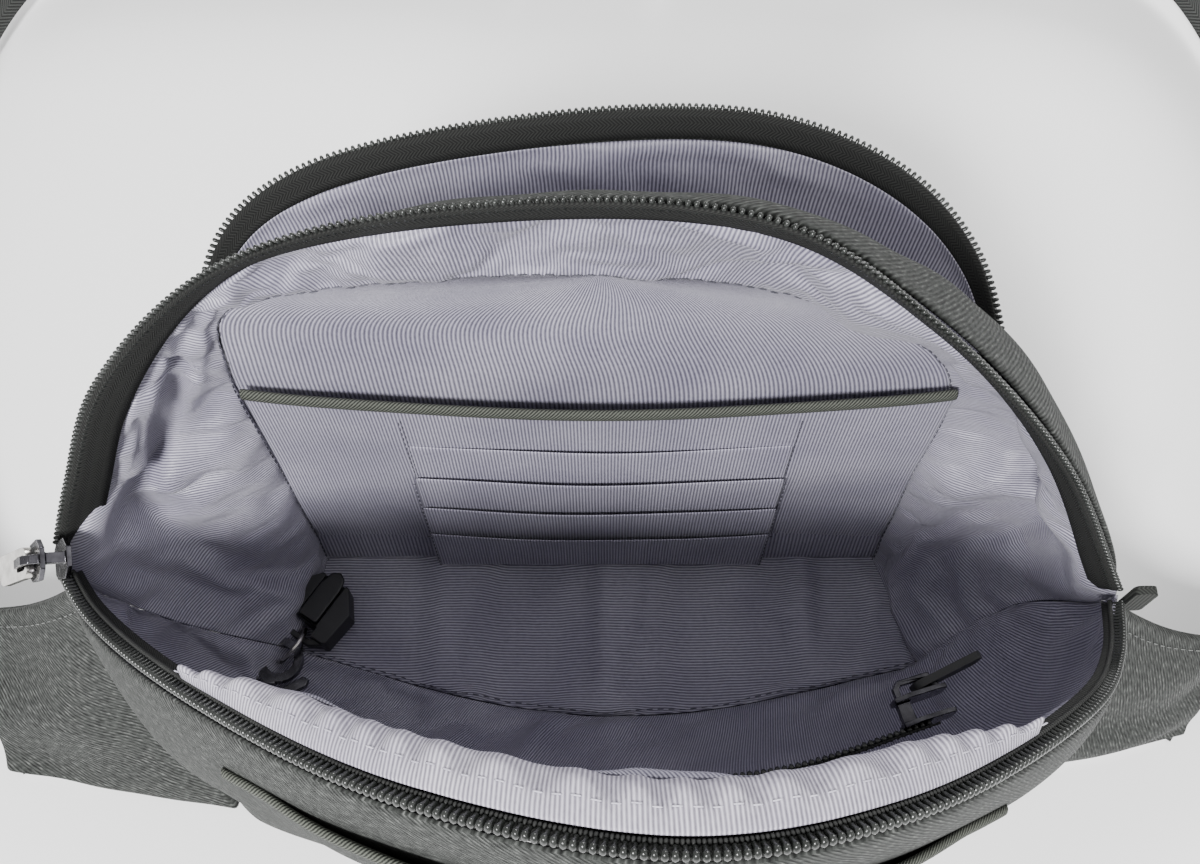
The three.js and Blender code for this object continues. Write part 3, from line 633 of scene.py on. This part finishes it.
def repeat_along(name, points, facing_way, item, pitch, material):
    """Lays an item along a path at a pitch in mm, and returns it as one plain mesh piece."""
    points = np.asarray(points, float)
    path = mesh_object(name + "_path", points, [], material)
    path.data.edges.add(len(points) - 1)
    pairs = np.stack([np.arange(len(points) - 1), np.arange(1, len(points))], -1)
    path.data.edges.foreach_set("vertices", pairs.reshape(-1))
    way = path.data.attributes.new("facing", "FLOAT_VECTOR", "POINT")
    way.data.foreach_set("vector", np.asarray(facing_way, float).reshape(-1))
    modifier = path.modifiers.new("repeat", "NODES")
    modifier.node_group = repeat_tree
    modifier[socket_id["Item"]] = item
    modifier[socket_id["Pitch"]] = pitch * MM
    modifier[socket_id["Finish"]] = material
    bpy.context.view_layer.update()
    evaluated = path.evaluated_get(bpy.context.evaluated_depsgraph_get())
    mesh = bpy.data.meshes.new_from_object(evaluated)
    mesh.name = name
    bpy.data.objects.remove(path)
    mesh.polygons.foreach_set("use_smooth", [True] * len(mesh.polygons))
    piece = bpy.data.objects.new(name, mesh)
    scene.collection.objects.link(piece)
    return piece


# %% [markdown]
# A tooth of a coil zip is a loop of monofilament: two legs that lie across the tape and a round
# head at the mating edge. From above it reads as a bead with a neck. A stitch is a short bit of
# thread that dips into the cloth at both ends.

# %% One tooth and one stitch
def spindle(name, stations, sides, material):
    """A closed shape of revolution-like rings. Each station is (x, y, z, half width, half height)."""
    angle = np.linspace(0, 2 * math.pi, sides, endpoint=False)
    rings = [
        np.stack([x + w * np.cos(angle), np.full(sides, y), z + h * np.sin(angle)], -1)
        for x, y, z, w, h in stations
    ]
    vertices = np.vstack(rings)
    faces = []
    for r in range(len(stations) - 1):
        for s in range(sides):
            t = (s + 1) % sides
            faces.append([r * sides + s, (r + 1) * sides + s, (r + 1) * sides + t, r * sides + t])
    faces.append(list(range(sides)))
    faces.append(list(range((len(stations) - 1) * sides, len(stations) * sides))[::-1])
    return mesh_object(name, vertices, faces, material)


tooth_shape = spindle("tooth", [
    (0, -1.25, 0.0, 0.3, 0.4), (0, -1.05, 0.0, 0.62, 0.85), (0, -0.6, 0.0, 0.72, 1.05),
    (0, -0.1, 0, 0.58, 0.9), (0, 0.4, -0.05, 0.44, 0.66),
    (0, 1.2, -0.1, 0.5, 0.6), (0, 1.6, -0.2, 0.3, 0.3),
], 8, coil_nylon)
stitch_shape = spindle("stitch", [
    (0, -0.13, 0, 0.75, 0.08), (0, 0.0, 0.08, 0.95, 0.15), (0, 0.13, 0, 0.75, 0.08),
], 8, pale_thread)
rib_shape = spindle("rib", [
    (0, -0.55, -0.1, 0.22, 0.2), (0, -0.2, 0.1, 0.36, 0.3),
    (0, 0.2, 0.1, 0.36, 0.3), (0, 0.55, -0.1, 0.22, 0.2),
], 6, cord_thread)


def zip_half(name, rim, foot, place, nodes, left, right, tape_end, tape_offset, face):
    """The coil, its edge cord and its tape, along one rim. face turns the beads in or out."""
    share = np.linspace(left, right, 400)
    edge = at(rim, share)
    along = at(foot, share) - edge
    along /= np.linalg.norm(along, axis=1, keepdims=True)
    tangent = np.gradient(edge, axis=0)
    normal = np.cross(tangent, along)
    normal /= np.linalg.norm(normal, axis=1, keepdims=True)
    teeth = repeat_along(name + "_teeth", edge, normal * face, tooth_shape, 1.5, coil_nylon)
    sew(teeth, place, "zip_coil", *nodes)
    cord_line = edge + along * 2.1 + normal * face * 0.2
    cord = repeat_along(name + "_cord", cord_line, normal * face, rib_shape, 0.8, cord_thread)
    sew(cord, place, "zip_tape")
    tape = strip(rim, foot, left=left, right=right, start=-0.8, end=tape_end, step=1.8)
    tape = cloth(name + "_tape", shifted(tape, tape_offset), 0.6, zip_tape, levels=0)
    sew(tape, place, "zip_tape")


def seam(name, grid, row, place, material, slot, lift=0.35, pitch=3.0, side=1.0, span=(0.0, 1.0)):
    """A row of stitches along one row of a grid. row is a share from 0 to 1 across it."""
    wanted = row * (grid.shape[1] - 1)
    low = min(int(wanted), grid.shape[1] - 2)
    mix = wanted - low
    line = grid[:, low] * (1 - mix) + grid[:, low + 1] * mix
    normal = grid_normals(grid)[:, low]
    first, last = (round(s * (len(line) - 1)) for s in span)
    line, normal = line[first:last + 1], normal[first:last + 1]
    run = repeat_along(name, line + normal * lift * side, normal * side, stitch_shape, pitch, material)
    return sew(run, place, slot)


# %% [markdown]
# ## The main compartment's lining
# The lining has a gusset, which runs from floor to floor over the top, a front and a floor. The
# gusset is deepest at the two sides, where it folds in on itself like a bellows, and it takes
# small diamond pleats along the top where it is eased round the arc.

# %% Gusset lining
low_left = lengths(inner_rim[:2 * SPAN + 1])[-1] / lengths(inner_rim)[-1]
low_right = 1 - lengths(inner_rim[-2 * SPAN - 1:])[-1] / lengths(inner_rim)[-1]


def tape_width_at(points):
    """More of the tape shows at the left, where the gusset is folded back, than over the top."""
    x = points[:, 0]
    return 3.4 + 5.4 * np.clip((-62 - x) / 40, 0, 1) + 2.2 * np.clip((x - 84) / 25, 0, 1)


def on_zip(share):
    """1 where the gusset's edge follows the zip, and 0 low down, where it follows the floor seam."""
    return np.clip((share - low_left) / 0.03, 0, 1) * np.clip((low_right - share) / 0.03, 0, 1)


def below_tape(share):
    """The lining starts at the seam low down, and under the zip tape where the zip is."""
    return (tape_width_at(at(inner_rim, share)) + 0.5) * on_zip(share)


gusset = strip(inner_rim, partition_edge, start=below_tape, stop=0.0, step=2.4)
along, across = shares(gusset)
gusset = shifted(gusset, 0.5 * on_zip(along) - 1.1 * np.clip(across / 0.12, 0, 1))
valley = np.maximum(0, 1 - np.abs(across - 0.5 - 0.07 * np.sin(along * 34)) / 0.34)
sides = bump_at(along, 0.17, 0.12) + bump_at(along, 0.83, 0.12)
ridge = bump_at(across + 1.6 * (along - 0.12), 0.3, 0.05)
ridge -= bump_at(across - 1.9 * (along - 0.86), 0.62, 0.06)
pleats = np.abs(np.sin(along * 31 + 1.6 * across)) ** 0.7 * bump_at(along, 0.5, 0.27)
away_from_seams = np.sin(math.pi * across)
hollow = 8.0 * valley ** 1.3 * sides - (2.4 * pleats + 3.5 * ridge * sides) * away_from_seams
gusset = shifted(gusset, hollow)
gusset = buckle("gusset_trial", gusset, 0.10, 6.0, 11)


def fold_line(distance, width):
    """A crease with a sharp bottom and soft shoulders."""
    return np.exp(-np.abs(distance) / width)


along, across = shares(gusset)
left_side, right_side = (np.clip(1.25 * bump_at(along, c, 0.11), 0, 1) for c in (0.19, 0.82))
left_side *= np.clip((along - 0.10) / 0.05, 0, 1)
creases = left_side * (
    3.0 * fold_line(across - 0.46 - 0.10 * np.sin(along * 21 + 0.4), 0.06)
    - 4.4 * fold_line(across - 0.66 - 0.08 * np.sin(along * 27), 0.055)
    - 4.0 * fold_line(across - 0.30 + 0.9 * (along - 0.2), 0.045)
) + right_side * (
    2.6 * fold_line(across - 0.50 + 1.1 * (along - 0.84), 0.05)
    - 4.4 * fold_line(across - 0.30 - 0.8 * (along - 0.80), 0.045)
    - 4.0 * fold_line(across - 0.70 - 0.12 * np.sin(along * 30), 0.05)
)
gusset = shifted(gusset, creases * np.sin(math.pi * across) ** 0.6)
gusset_piece = cloth("gusset_lining", gusset, 0.6, lining)
sew(gusset_piece, "pack", "lining_cloth", "gusset_lining")
seam("gusset_seam", gusset, 0.985, "pack", dark_thread, "lining_cloth", side=-1, pitch=2.6)
print("gusset lining", gusset.shape[0], "by", gusset.shape[1], "points")

# %% Front lining, which hangs from the facing to the floor seam
share = np.linspace(0, 1, 141)
t = np.linspace(0, 1, 53)[None, :, None]
upper, belly, lower = (at(c, share)[:, None] for c in (facing_foot, lining_belly, floor_seam))
band_left, band_right = share_at(front_rim, 0, -78), share_at(front_rim, 0, 76)


def covered(share):
    """How far the facing reaches from the rim: all the way in the middle, and a little at its ends."""
    inside = np.clip(np.minimum(share - band_left, band_right - share) / 0.10, 0, 1)
    return (0.12 + 0.88 * np.sin(inside * math.pi / 2))[:, None, None]


rim_line = at(front_rim, share)[:, None] + np.array([0, 0.8, -1.4])
upper = rim_line + (upper - rim_line) * covered(share) * 0.98
front_grid = upper * (1 - t) ** 2 + belly * 2 * t * (1 - t) + lower * t ** 2
front_grid[..., 2] = np.maximum(front_grid[..., 2], 3.6 + 0.3 * np.sin(front_grid[..., 0] / 7))
side_seams = inner_rim[2 * SPAN:SPAN - 1:-1], inner_rim[-2 * SPAN - 1:-SPAN]
front_grid = sewn_to(front_grid, *side_seams, 10)
front_grid = buckle("front_trial", front_grid, 0.07, 5.0, 5)
front_grid[..., 2] = np.maximum(front_grid[..., 2], 2.6)
RING_X = -65
x, y, z = np.moveaxis(front_grid, -1, 0)
near_ring = (np.abs(x - RING_X) < 16) & (y > -66) & (z < 9)
front_grid[..., 2] = np.where(near_ring, np.minimum(z, 3.9), z)
front_lining = cloth("front_lining", front_grid, 0.6, lining)
sew(front_lining, "front", "lining_cloth", "front_lining")
print("front lining", round(lengths(front_grid[70])[-1]), "mm from facing to floor seam in the middle")

# %% Facing band under the front zip
share_band = np.linspace(band_left, band_right, 151)
t = np.linspace(-0.02, 1, 13)[None, :, None]
band_top = at(front_rim, share_band)[:, None] + np.array([0, 2.2, -1.6])
band_foot = at(facing_foot, share_band)[:, None]
band_foot = band_top + (band_foot - band_top) * covered(share_band)
band = band_top * (1 - t) + band_foot * t
along, across = shares(band)
pucker = 1.1 * np.sin(along * 2 * math.pi * 19 + 2 * np.sin(along * 21)) * bump_at(across, 0.55, 0.25)
roll = 2.2 * np.sin(math.pi * across) - 2.5 * bump_at(across, 1.0, 0.12)
band = shifted(band, roll + pucker + 0.8)
band_piece = cloth("facing_band", band, 0.6, facing)
sew(band_piece, "front", "lining_cloth", "facing_band")
seam("facing_stitches", band, 0.3, "front", pale_thread, "lining_cloth", pitch=3.1)
print("facing band", round(lengths(band_top[:, 0])[-1]), "mm long")

# %% Floor lining
share_floor = np.linspace(share_at(floor_seam, 0, -84), share_at(floor_seam, 0, 88), 71)
near_edge = at(floor_seam, share_floor)
far_edge = np.stack([np.linspace(-80, 80, 71), np.full(71, 2.2), np.full(71, 4.6)], -1)
t = np.linspace(0, 1, 19)[None, :, None]
floor_grid = far_edge[:, None] * (1 - t) + near_edge[:, None] * t
floor_grid = buckle("floor_trial", floor_grid, 0.06, 3.0, 3)
under_ring = 3.7 + 8 * np.clip((floor_grid[..., 0] - RING_X - 13) / 22, 0, 1)
floor_grid[..., 2] = np.clip(floor_grid[..., 2], 3.4, under_ring)
floor_piece = cloth("floor_lining", floor_grid, 0.6, lining_across)
sew(floor_piece, "front", "lining_cloth", "floor_lining")
seam("floor_front_seam", floor_grid, 0.97, "front", dark_thread, "lining_cloth", side=-1)

# %% [markdown]
# ## Partition, slip pocket and card slots
# The back wall of the compartment is a padded panel. A slip pocket as wide as the wall is sewn
# on it, with a dark bound mouth, and the pocket carries four card slots, each a folded sleeve
# with a soft lip. Two stitched seams close the slots at their sides.

# %% Partition panel
rise = np.linspace(0, 1, 61)
apex = share_at(partition_edge, 0, 0)
left_side = at(partition_edge, rise * apex)
right_side = at(partition_edge, 1 - rise * (1 - apex))
t = np.linspace(0, 1, 57)[None, :, None]
partition = left_side[:, None] * (1 - t) + right_side[:, None] * t
partition = partition.transpose(1, 0, 2)[:, ::-1]
along, across = shares(partition)
partition[..., 1] += 0.4 - 1.6 * np.sin(math.pi * along) * np.sin(math.pi * across)
partition = shifted(partition, 0.7 * rumple(partition, 55, 21) * np.sin(math.pi * along))
partition_piece = cloth("partition_panel", partition, 1.8, lining)
sew(partition_piece, "pack", "lining_cloth", "partition_panel")
print("partition", round(np.ptp(partition[..., 0])), "by", round(np.ptp(partition[..., 2])), "mm")

# %% Slip pocket and its bound mouth
def pocket_line(x):
    """Height of the pocket's mouth across the wall: it sags a little between its ends."""
    return 101.0 + 1.6 * (np.asarray(x) / 80) ** 4 - 1.2 * np.cos(np.asarray(x) / 19)


across_wall = np.linspace(-79.5, 79, 81)
up = np.linspace(0, 1, 45)[None, :]
pocket = np.empty((81, 45, 3))
pocket[..., 0] = across_wall[:, None]
pocket[..., 2] = pocket_line(across_wall)[:, None] * (1 - up) + 4.5 * up
gape = 2.4 * np.cos(across_wall / 80 * math.pi / 2)[:, None] * (1 - up) ** 2
pocket[..., 1] = 1.4 - gape + 1.3 * np.abs(across_wall[:, None] / 80) ** 6 * (1 - up)
pocket = shifted(pocket, 0.5 * rumple(pocket, 45, 8) * np.sin(math.pi * up))
pocket_piece = cloth("slip_pocket", pocket, 0.6, lining)
sew(pocket_piece, "pack", "lining_cloth", "slip_pocket")


def bound_edge(name, edge, half_depth, half_height, place):
    """A flattened tube of binding tape round an edge."""
    turn = np.append(np.linspace(0, 2 * math.pi, 15)[:-1], 0)
    wrap = np.stack([np.zeros(15), half_depth * np.cos(turn), half_height * np.sin(turn)], -1)
    piece = cloth(name, edge[:, None] + wrap, 0.3, grosgrain)
    sew(piece, place, "binding_tape", name)


bound_edge("pocket_binding", pocket[:, 0] + np.array([0, 0, 0.4]), 1.0, 1.7, "pack")

# %% Card slots
CARD_HALF = 46
for number, top in enumerate((82, 65, 48, 32), start=1):
    sleeve = np.empty((47, 25, 3))
    x = np.linspace(-CARD_HALF, CARD_HALF, 47)
    down = np.linspace(0, 1, 25)[None, :]
    sag = 1.1 * np.cos(x / CARD_HALF * math.pi / 2) + 0.35 * np.sin(x / 9 + number)
    sleeve[..., 0] = x[:, None]
    sleeve[..., 2] = (top - sag)[:, None] * (1 - down) + 8 * down
    lip = 1.5 * np.cos(x / CARD_HALF * math.pi / 2)[:, None] * (1 - down) ** 3
    sleeve[..., 1] = 1.2 - number * 1.15 - lip
    piece = cloth(f"card_sleeve_{number}", sleeve, 0.5, lining)
    sew(piece, "pack", "lining_cloth", f"card_sleeve_{number}")
    seam(f"card_lip_stitches_{number}", sleeve, 0.045 + 0.02 * number, "pack", dark_thread,
         "lining_cloth", pitch=2.4)
heights = np.linspace(96, 9, 40)
for side_name, x in (("left", -CARD_HALF + 0.6), ("right", CARD_HALF - 0.6)):
    column = np.stack([np.full(40, x), np.where(heights < 66, -3.9, -1.1), heights], -1)
    out = np.tile([0, -1.0, 0], (40, 1))
    run = repeat_along(f"card_seam_{side_name}", column, out, stitch_shape, 2.6, dark_thread)
    sew(run, "pack", "lining_cloth")

# %% [markdown]
# ## Outer shell
# The face fabric has a thin foam behind it, so it stands in soft curves with rounded edges. The
# front is fullest low down, where the outer pocket is. The gusset's outside is the heather band
# that shows between the two zips.

# %% Front shell and its outer pocket
shell = strip(front_rim, base_front, start=3.4, stop=0.2, step=2.6)
along, across = shares(shell)
fullness = 9.0 * np.sin(math.pi * across ** 0.8) * np.sin(math.pi * along) ** 0.5
folds = 0.9 * rumple(shell, 42, 31) * np.sin(math.pi * across)
shell = shifted(shell, -1.4 - fullness - folds)
shell_piece = cloth("front_panel", shell, 1.3, heather)
sew(shell_piece, "front", "face_fabric", "front_panel", "front_corner_left", "front_corner_right")
seam("front_top_stitches", shell, 0.04, "front", grey_thread, "face_fabric", side=-1)
first, last = (round(s * (shell.shape[0] - 1)) for s in (0.26, 0.74))
patch = shell[first:last + 1, round(0.14 * shell.shape[1]):-2]
along, across = shares(patch)
gape = np.sin(math.pi / 2 * np.clip((np.minimum(along, 1 - along) - 0.08) / 0.3, 0, 1))
patch = shifted(patch, -1.35 - 2.4 * gape * (1 - across) ** 2)
patch_piece = cloth("front_pocket", patch, 1.3, heather)
sew(patch_piece, "front", "face_fabric", "front_pocket")
bound_edge("front_pocket_binding", patch[:, 0], 0.9, 1.4, "front")

# %% Gusset shell between the two zips
outer = strip(outer_rim, rear_gusset_edge, start=3.4, stop=2.2, step=2.4)
along, across = shares(outer)
outer = shifted(outer, 1.0 + (2.4 + 0.8 * rumple(outer, 30, 13)) * np.sin(math.pi * across))
outer_piece = cloth("gusset_panel", outer, 1.3, heather)
sew(outer_piece, "pack", "face_fabric", "gusset_panel")
seam("gusset_front_stitches", outer, 0.06, "pack", grey_thread, "face_fabric")
seam("gusset_rear_stitches", outer, 0.94, "pack", grey_thread, "face_fabric")

# %% Rear compartment: padded panel outside, lining inside
rear = strip(rear_zip_back, rear_foot, start=3.0, stop=0.0, step=2.6)
along, across = shares(rear)
full = np.sin(math.pi * across) * np.sin(math.pi * along)
rear_face = shifted(rear, 2.2 + 2.5 * full)
rear_face[..., 2] += 4.6 * bump_at(across, 0.02, 0.05) * np.sin(math.pi * along) ** 0.4
side_seams = rear_gusset_edge[2 * SPAN::-1], rear_gusset_edge[-2 * SPAN - 1:]
rear_face = sewn_to(rear_face, *side_seams, 6)
rear_piece = cloth("rear_panel", rear_face, 3.0, heather)
sew(rear_piece, "rear", "face_fabric", "rear_panel", "rear_corner_left", "rear_corner_right")
inside = buckle("rear_trial", shifted(rear[:, 1:], -1.9), 0.05, 1.6, 17)
inside_piece = cloth("rear_lining", inside, 0.6, lining)
sew(inside_piece, "rear", "lining_cloth", "rear_lining")
seam("rear_top_stitches", rear_face, 0.05, "rear", grey_thread, "face_fabric", lift=1.6)

# %% Base
outline = at(base_front, np.linspace(0, 1, 60))[:, :2]
back = np.array([[98, 4], [88, 10], [0, 10.5], [-88, 10], [-98, 4]], float)
ring = np.vstack([outline, back])
middle = np.array([0, -28.0])
rings = [middle + (ring - middle) * scale for scale in (0.02, 0.4, 0.75, 0.93, 0.985, 1.0)]
heights = (0.4, 0.4, 0.4, 0.5, 1.0, 2.0)
base_grid = np.stack([np.column_stack([r, np.full(len(r), h)]) for r, h in zip(rings, heights)])
base_grid = np.concatenate([base_grid, base_grid[:, :1]], axis=1)
base_piece = cloth("base_panel", base_grid[:, ::-1], 0.7, heather)
sew(base_piece, "pack", "face_fabric", "base_panel")
print("base", round(np.ptp(ring[:, 0])), "by", round(np.ptp(ring[:, 1])), "mm")

# %% [markdown]
# ## Zips
# The main zip is open along both of its halves. On the rear half the tape shows inside the
# mouth, and on the front half the coil stands on the rim itself.

# %% Main and rear zips
zip_half("main_zip_rear", rear_rim, partition_edge, "pack", ("main_zip_rear_coil", "main_zip_rear_tape"),
         left=0.02, right=0.99, tape_end=lambda share: tape_width_at(at(rear_rim, share)) + 1.5,
         tape_offset=-0.5, face=-1.0)
zip_half("main_zip_front", front_rim, facing_foot, "front",
         ("main_zip_front_coil", "main_zip_front_tape",
          "main_zip_left_coil_end", "main_zip_right_coil_end"),
         left=0.02, right=0.985, tape_end=4.2, tape_offset=-0.5, face=1.0)
zip_half("rear_zip_front", rear_zip_front, rear_foot, "pack", ("rear_zip_front_coil",),
         left=0.04, right=0.97, tape_end=7.0, tape_offset=0.2, face=1.0)
zip_half("rear_zip_back", rear_zip_back, rear_foot, "rear", ("rear_zip_back_coil",),
         left=0.055, right=0.97, tape_end=6.2, tape_offset=-1.2, face=-1.0)

# %% Zip of the inner pocket
zip_line = smooth_curve([[-62, -69, 80], [-30, -76, 80], [5, -79, 80], [40, -76, 80], [72, -66, 80]])
zip_low = zip_line - np.array([0, -2.5, 12.0])
share = np.linspace(0.01, 0.99, 200)
middle = at(zip_line, share) + np.array([0, 1.4, 0])
way = np.tile([0.0, 0.97, 0.25], (200, 1))
inner_teeth = repeat_along("inner_zip_teeth", middle, way, tooth_shape, 1.5, coil_nylon)
sew(inner_teeth, "front", "zip_coil", "inner_zip_coil")
inner_tape = strip(zip_line + np.array([0, 0.0, 5.5]), zip_low, start=0, end=11, step=2.5)
inner_tape_piece = cloth("inner_zip_tape", inner_tape, 0.5, zip_tape, levels=0)
sew(inner_tape_piece, "front", "zip_tape")

# %% [markdown]
# ## Wings and waist belt
# A padded wing runs from each side of the bag to the webbing. The belt is flat webbing that
# stands on its edge, as it does round a waist, and it closes behind with a side-release buckle.

# %% Wings
def wing(side):
    root_top, root_foot = ([120, -32, 76], [96, -70, 3]) if side < 0 else ([118, -36, 74], [104, -62, 3])
    tip_top, tip_foot = ([160, -26, 39], [160, -60, 3]) if side < 0 else ([160, -34, 39], [160, -50, 3])
    corners = [np.array(c, float) * [side, 1, 1] for c in (root_top, root_foot, tip_top, tip_foot)]
    s = np.linspace(0, 1, 31)[:, None, None]
    t = np.linspace(0, 1, 31)[None, :, None]
    ease = 1 - (1 - s) ** 1.5
    top_edge = corners[0] * (1 - s) + corners[2] * s
    top_edge[..., 2:] = corners[0][2] * (1 - ease) + corners[2][2] * ease
    foot_edge = corners[1] * (1 - s) + corners[3] * s
    grid = top_edge * (1 - t) + foot_edge * t
    grid[..., 1] -= 6 * np.sin(math.pi * s[..., 0]) * np.sin(math.pi * t[..., 0])
    grid = grid if side > 0 else grid[::-1]
    along, across = shares(grid)
    ridge = np.sin(across * 9 + along * 4 + side) * 1.6 * np.sin(math.pi * across)
    return shifted(grid, ridge + 0.8 * rumple(grid, 26, 40 + side))


for side_name, side in (("left", -1), ("right", 1)):
    grid = wing(side)
    piece = cloth(f"wing_{side_name}", grid, 3.6, heather)
    sew(piece, "pack", "face_fabric", f"wing_{side_name}")
    seam(f"wing_{side_name}_top_stitches", grid, 0.07, "pack", grey_thread, "face_fabric",
         lift=2.0, side=-1)

# %% Belt
WEBBING_WIDTH, BELT_Y, PLY_GAP = 38.0, 240.0, 2.3


def belt(name, route, place, lean=0.0):
    """Webbing on its edge along a route in plan. It rises a little to meet the buckle, and leans
    by lean mm over its width where it leaves the wing."""
    curve = smooth_curve([[x, y, 0] for x, y in route], 30)
    line = at(curve, np.linspace(0, 1, max(30, round(lengths(curve)[-1] / 3))))
    rise = np.clip((line[:, 1] - 120) / 105, 0, 1)
    foot = 0.4 + 6 * rise ** 2 * (3 - 2 * rise)
    t = np.linspace(0, 1, 13)
    grid = np.repeat(line[:, None], 13, axis=1)
    grid[..., 2] = foot[:, None] + WEBBING_WIDTH * (1 - t)
    grid[..., 1] += lean * (0.5 - t) * np.clip(1 - lengths(line) / 34, 0, 1)[:, None] ** 2
    piece = cloth(name, grid, 1.4, webbing, levels=0)
    sew(piece, place, "belt_webbing", name)


side_route = [
    (156.5, -44), (178, -28), (198, 12), (213, 62), (219, 120), (216, 180), (198, 222), (165, BELT_Y - 2),
]
left_route = [(-x, y) for x, y in side_route]
belt("belt_left", [*left_route, (-115, BELT_Y), (-70, BELT_Y), (-33, BELT_Y)], "pack", 34)
belt("belt_right", [*side_route, (130, BELT_Y), (100, BELT_Y), (74, BELT_Y)], "pack", 16)
belt("belt_loop", [
    (112, BELT_Y + PLY_GAP), (42, BELT_Y + PLY_GAP), (34, BELT_Y + PLY_GAP),
    (32, BELT_Y + PLY_GAP - 0.9), (31.2, BELT_Y), (32, BELT_Y - PLY_GAP + 0.9),
    (34, BELT_Y - PLY_GAP), (42, BELT_Y - PLY_GAP), (112, BELT_Y - PLY_GAP),
], "buckle_plug")

# %% [markdown]
# ## Hard parts
# The buckle, the sliders and the key holder are already the right shape in the frame, so they
# keep their meshes. Welding their loose triangles and rounding their edges with a small bevel
# gives the moulding radius and the highlights that a sharp solid lacks.


# %% Finish the carried-over parts
def finish(node, material, radius):
    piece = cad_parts[node]
    piece.data.materials.clear()
    piece.data.materials.append(material)
    weld = piece.modifiers.new("weld", "WELD")
    weld.merge_threshold = 0.00001
    bevel = piece.modifiers.new("rounded_edges", "BEVEL")
    bevel.width = radius * MM
    bevel.segments = 3
    bevel.limit_method = "ANGLE"
    bevel.angle_limit = math.radians(32)
    piece.data.polygons.foreach_set("use_smooth", [True] * len(piece.data.polygons))
    smooth = piece.modifiers.new("weighted", "WEIGHTED_NORMAL")
    smooth.keep_sharp = False


for node in ("buckle_female", "buckle_male", "buckle_prong_upper", "buckle_prong_lower", "belt_adjuster"):
    finish(node, acetal, 0.8)
for node in ("key_light", "light_tongue"):
    finish(node, acetal, 0.6)
finish("inner_pull", rubber, 0.6)
for node in ("main_slider", "rear_slider", "inner_slider", "key_swivel", "key_clip", "clip_lever"):
    finish(node, black_nickel, 0.3)
for node in ("main_pull", "rear_pull"):
    finish(node, bright_nickel, 0.4)
finish("key_ring", bright_nickel, 0.05)
finish("key_strap", strap_webbing, 0.2)
finish("zip_end_tab", tab_tape, 0.4)
for template in (tooth_shape, stitch_shape, rib_shape):
    bpy.data.objects.remove(template)

# %% Close the frame
bpy.context.view_layer.update()
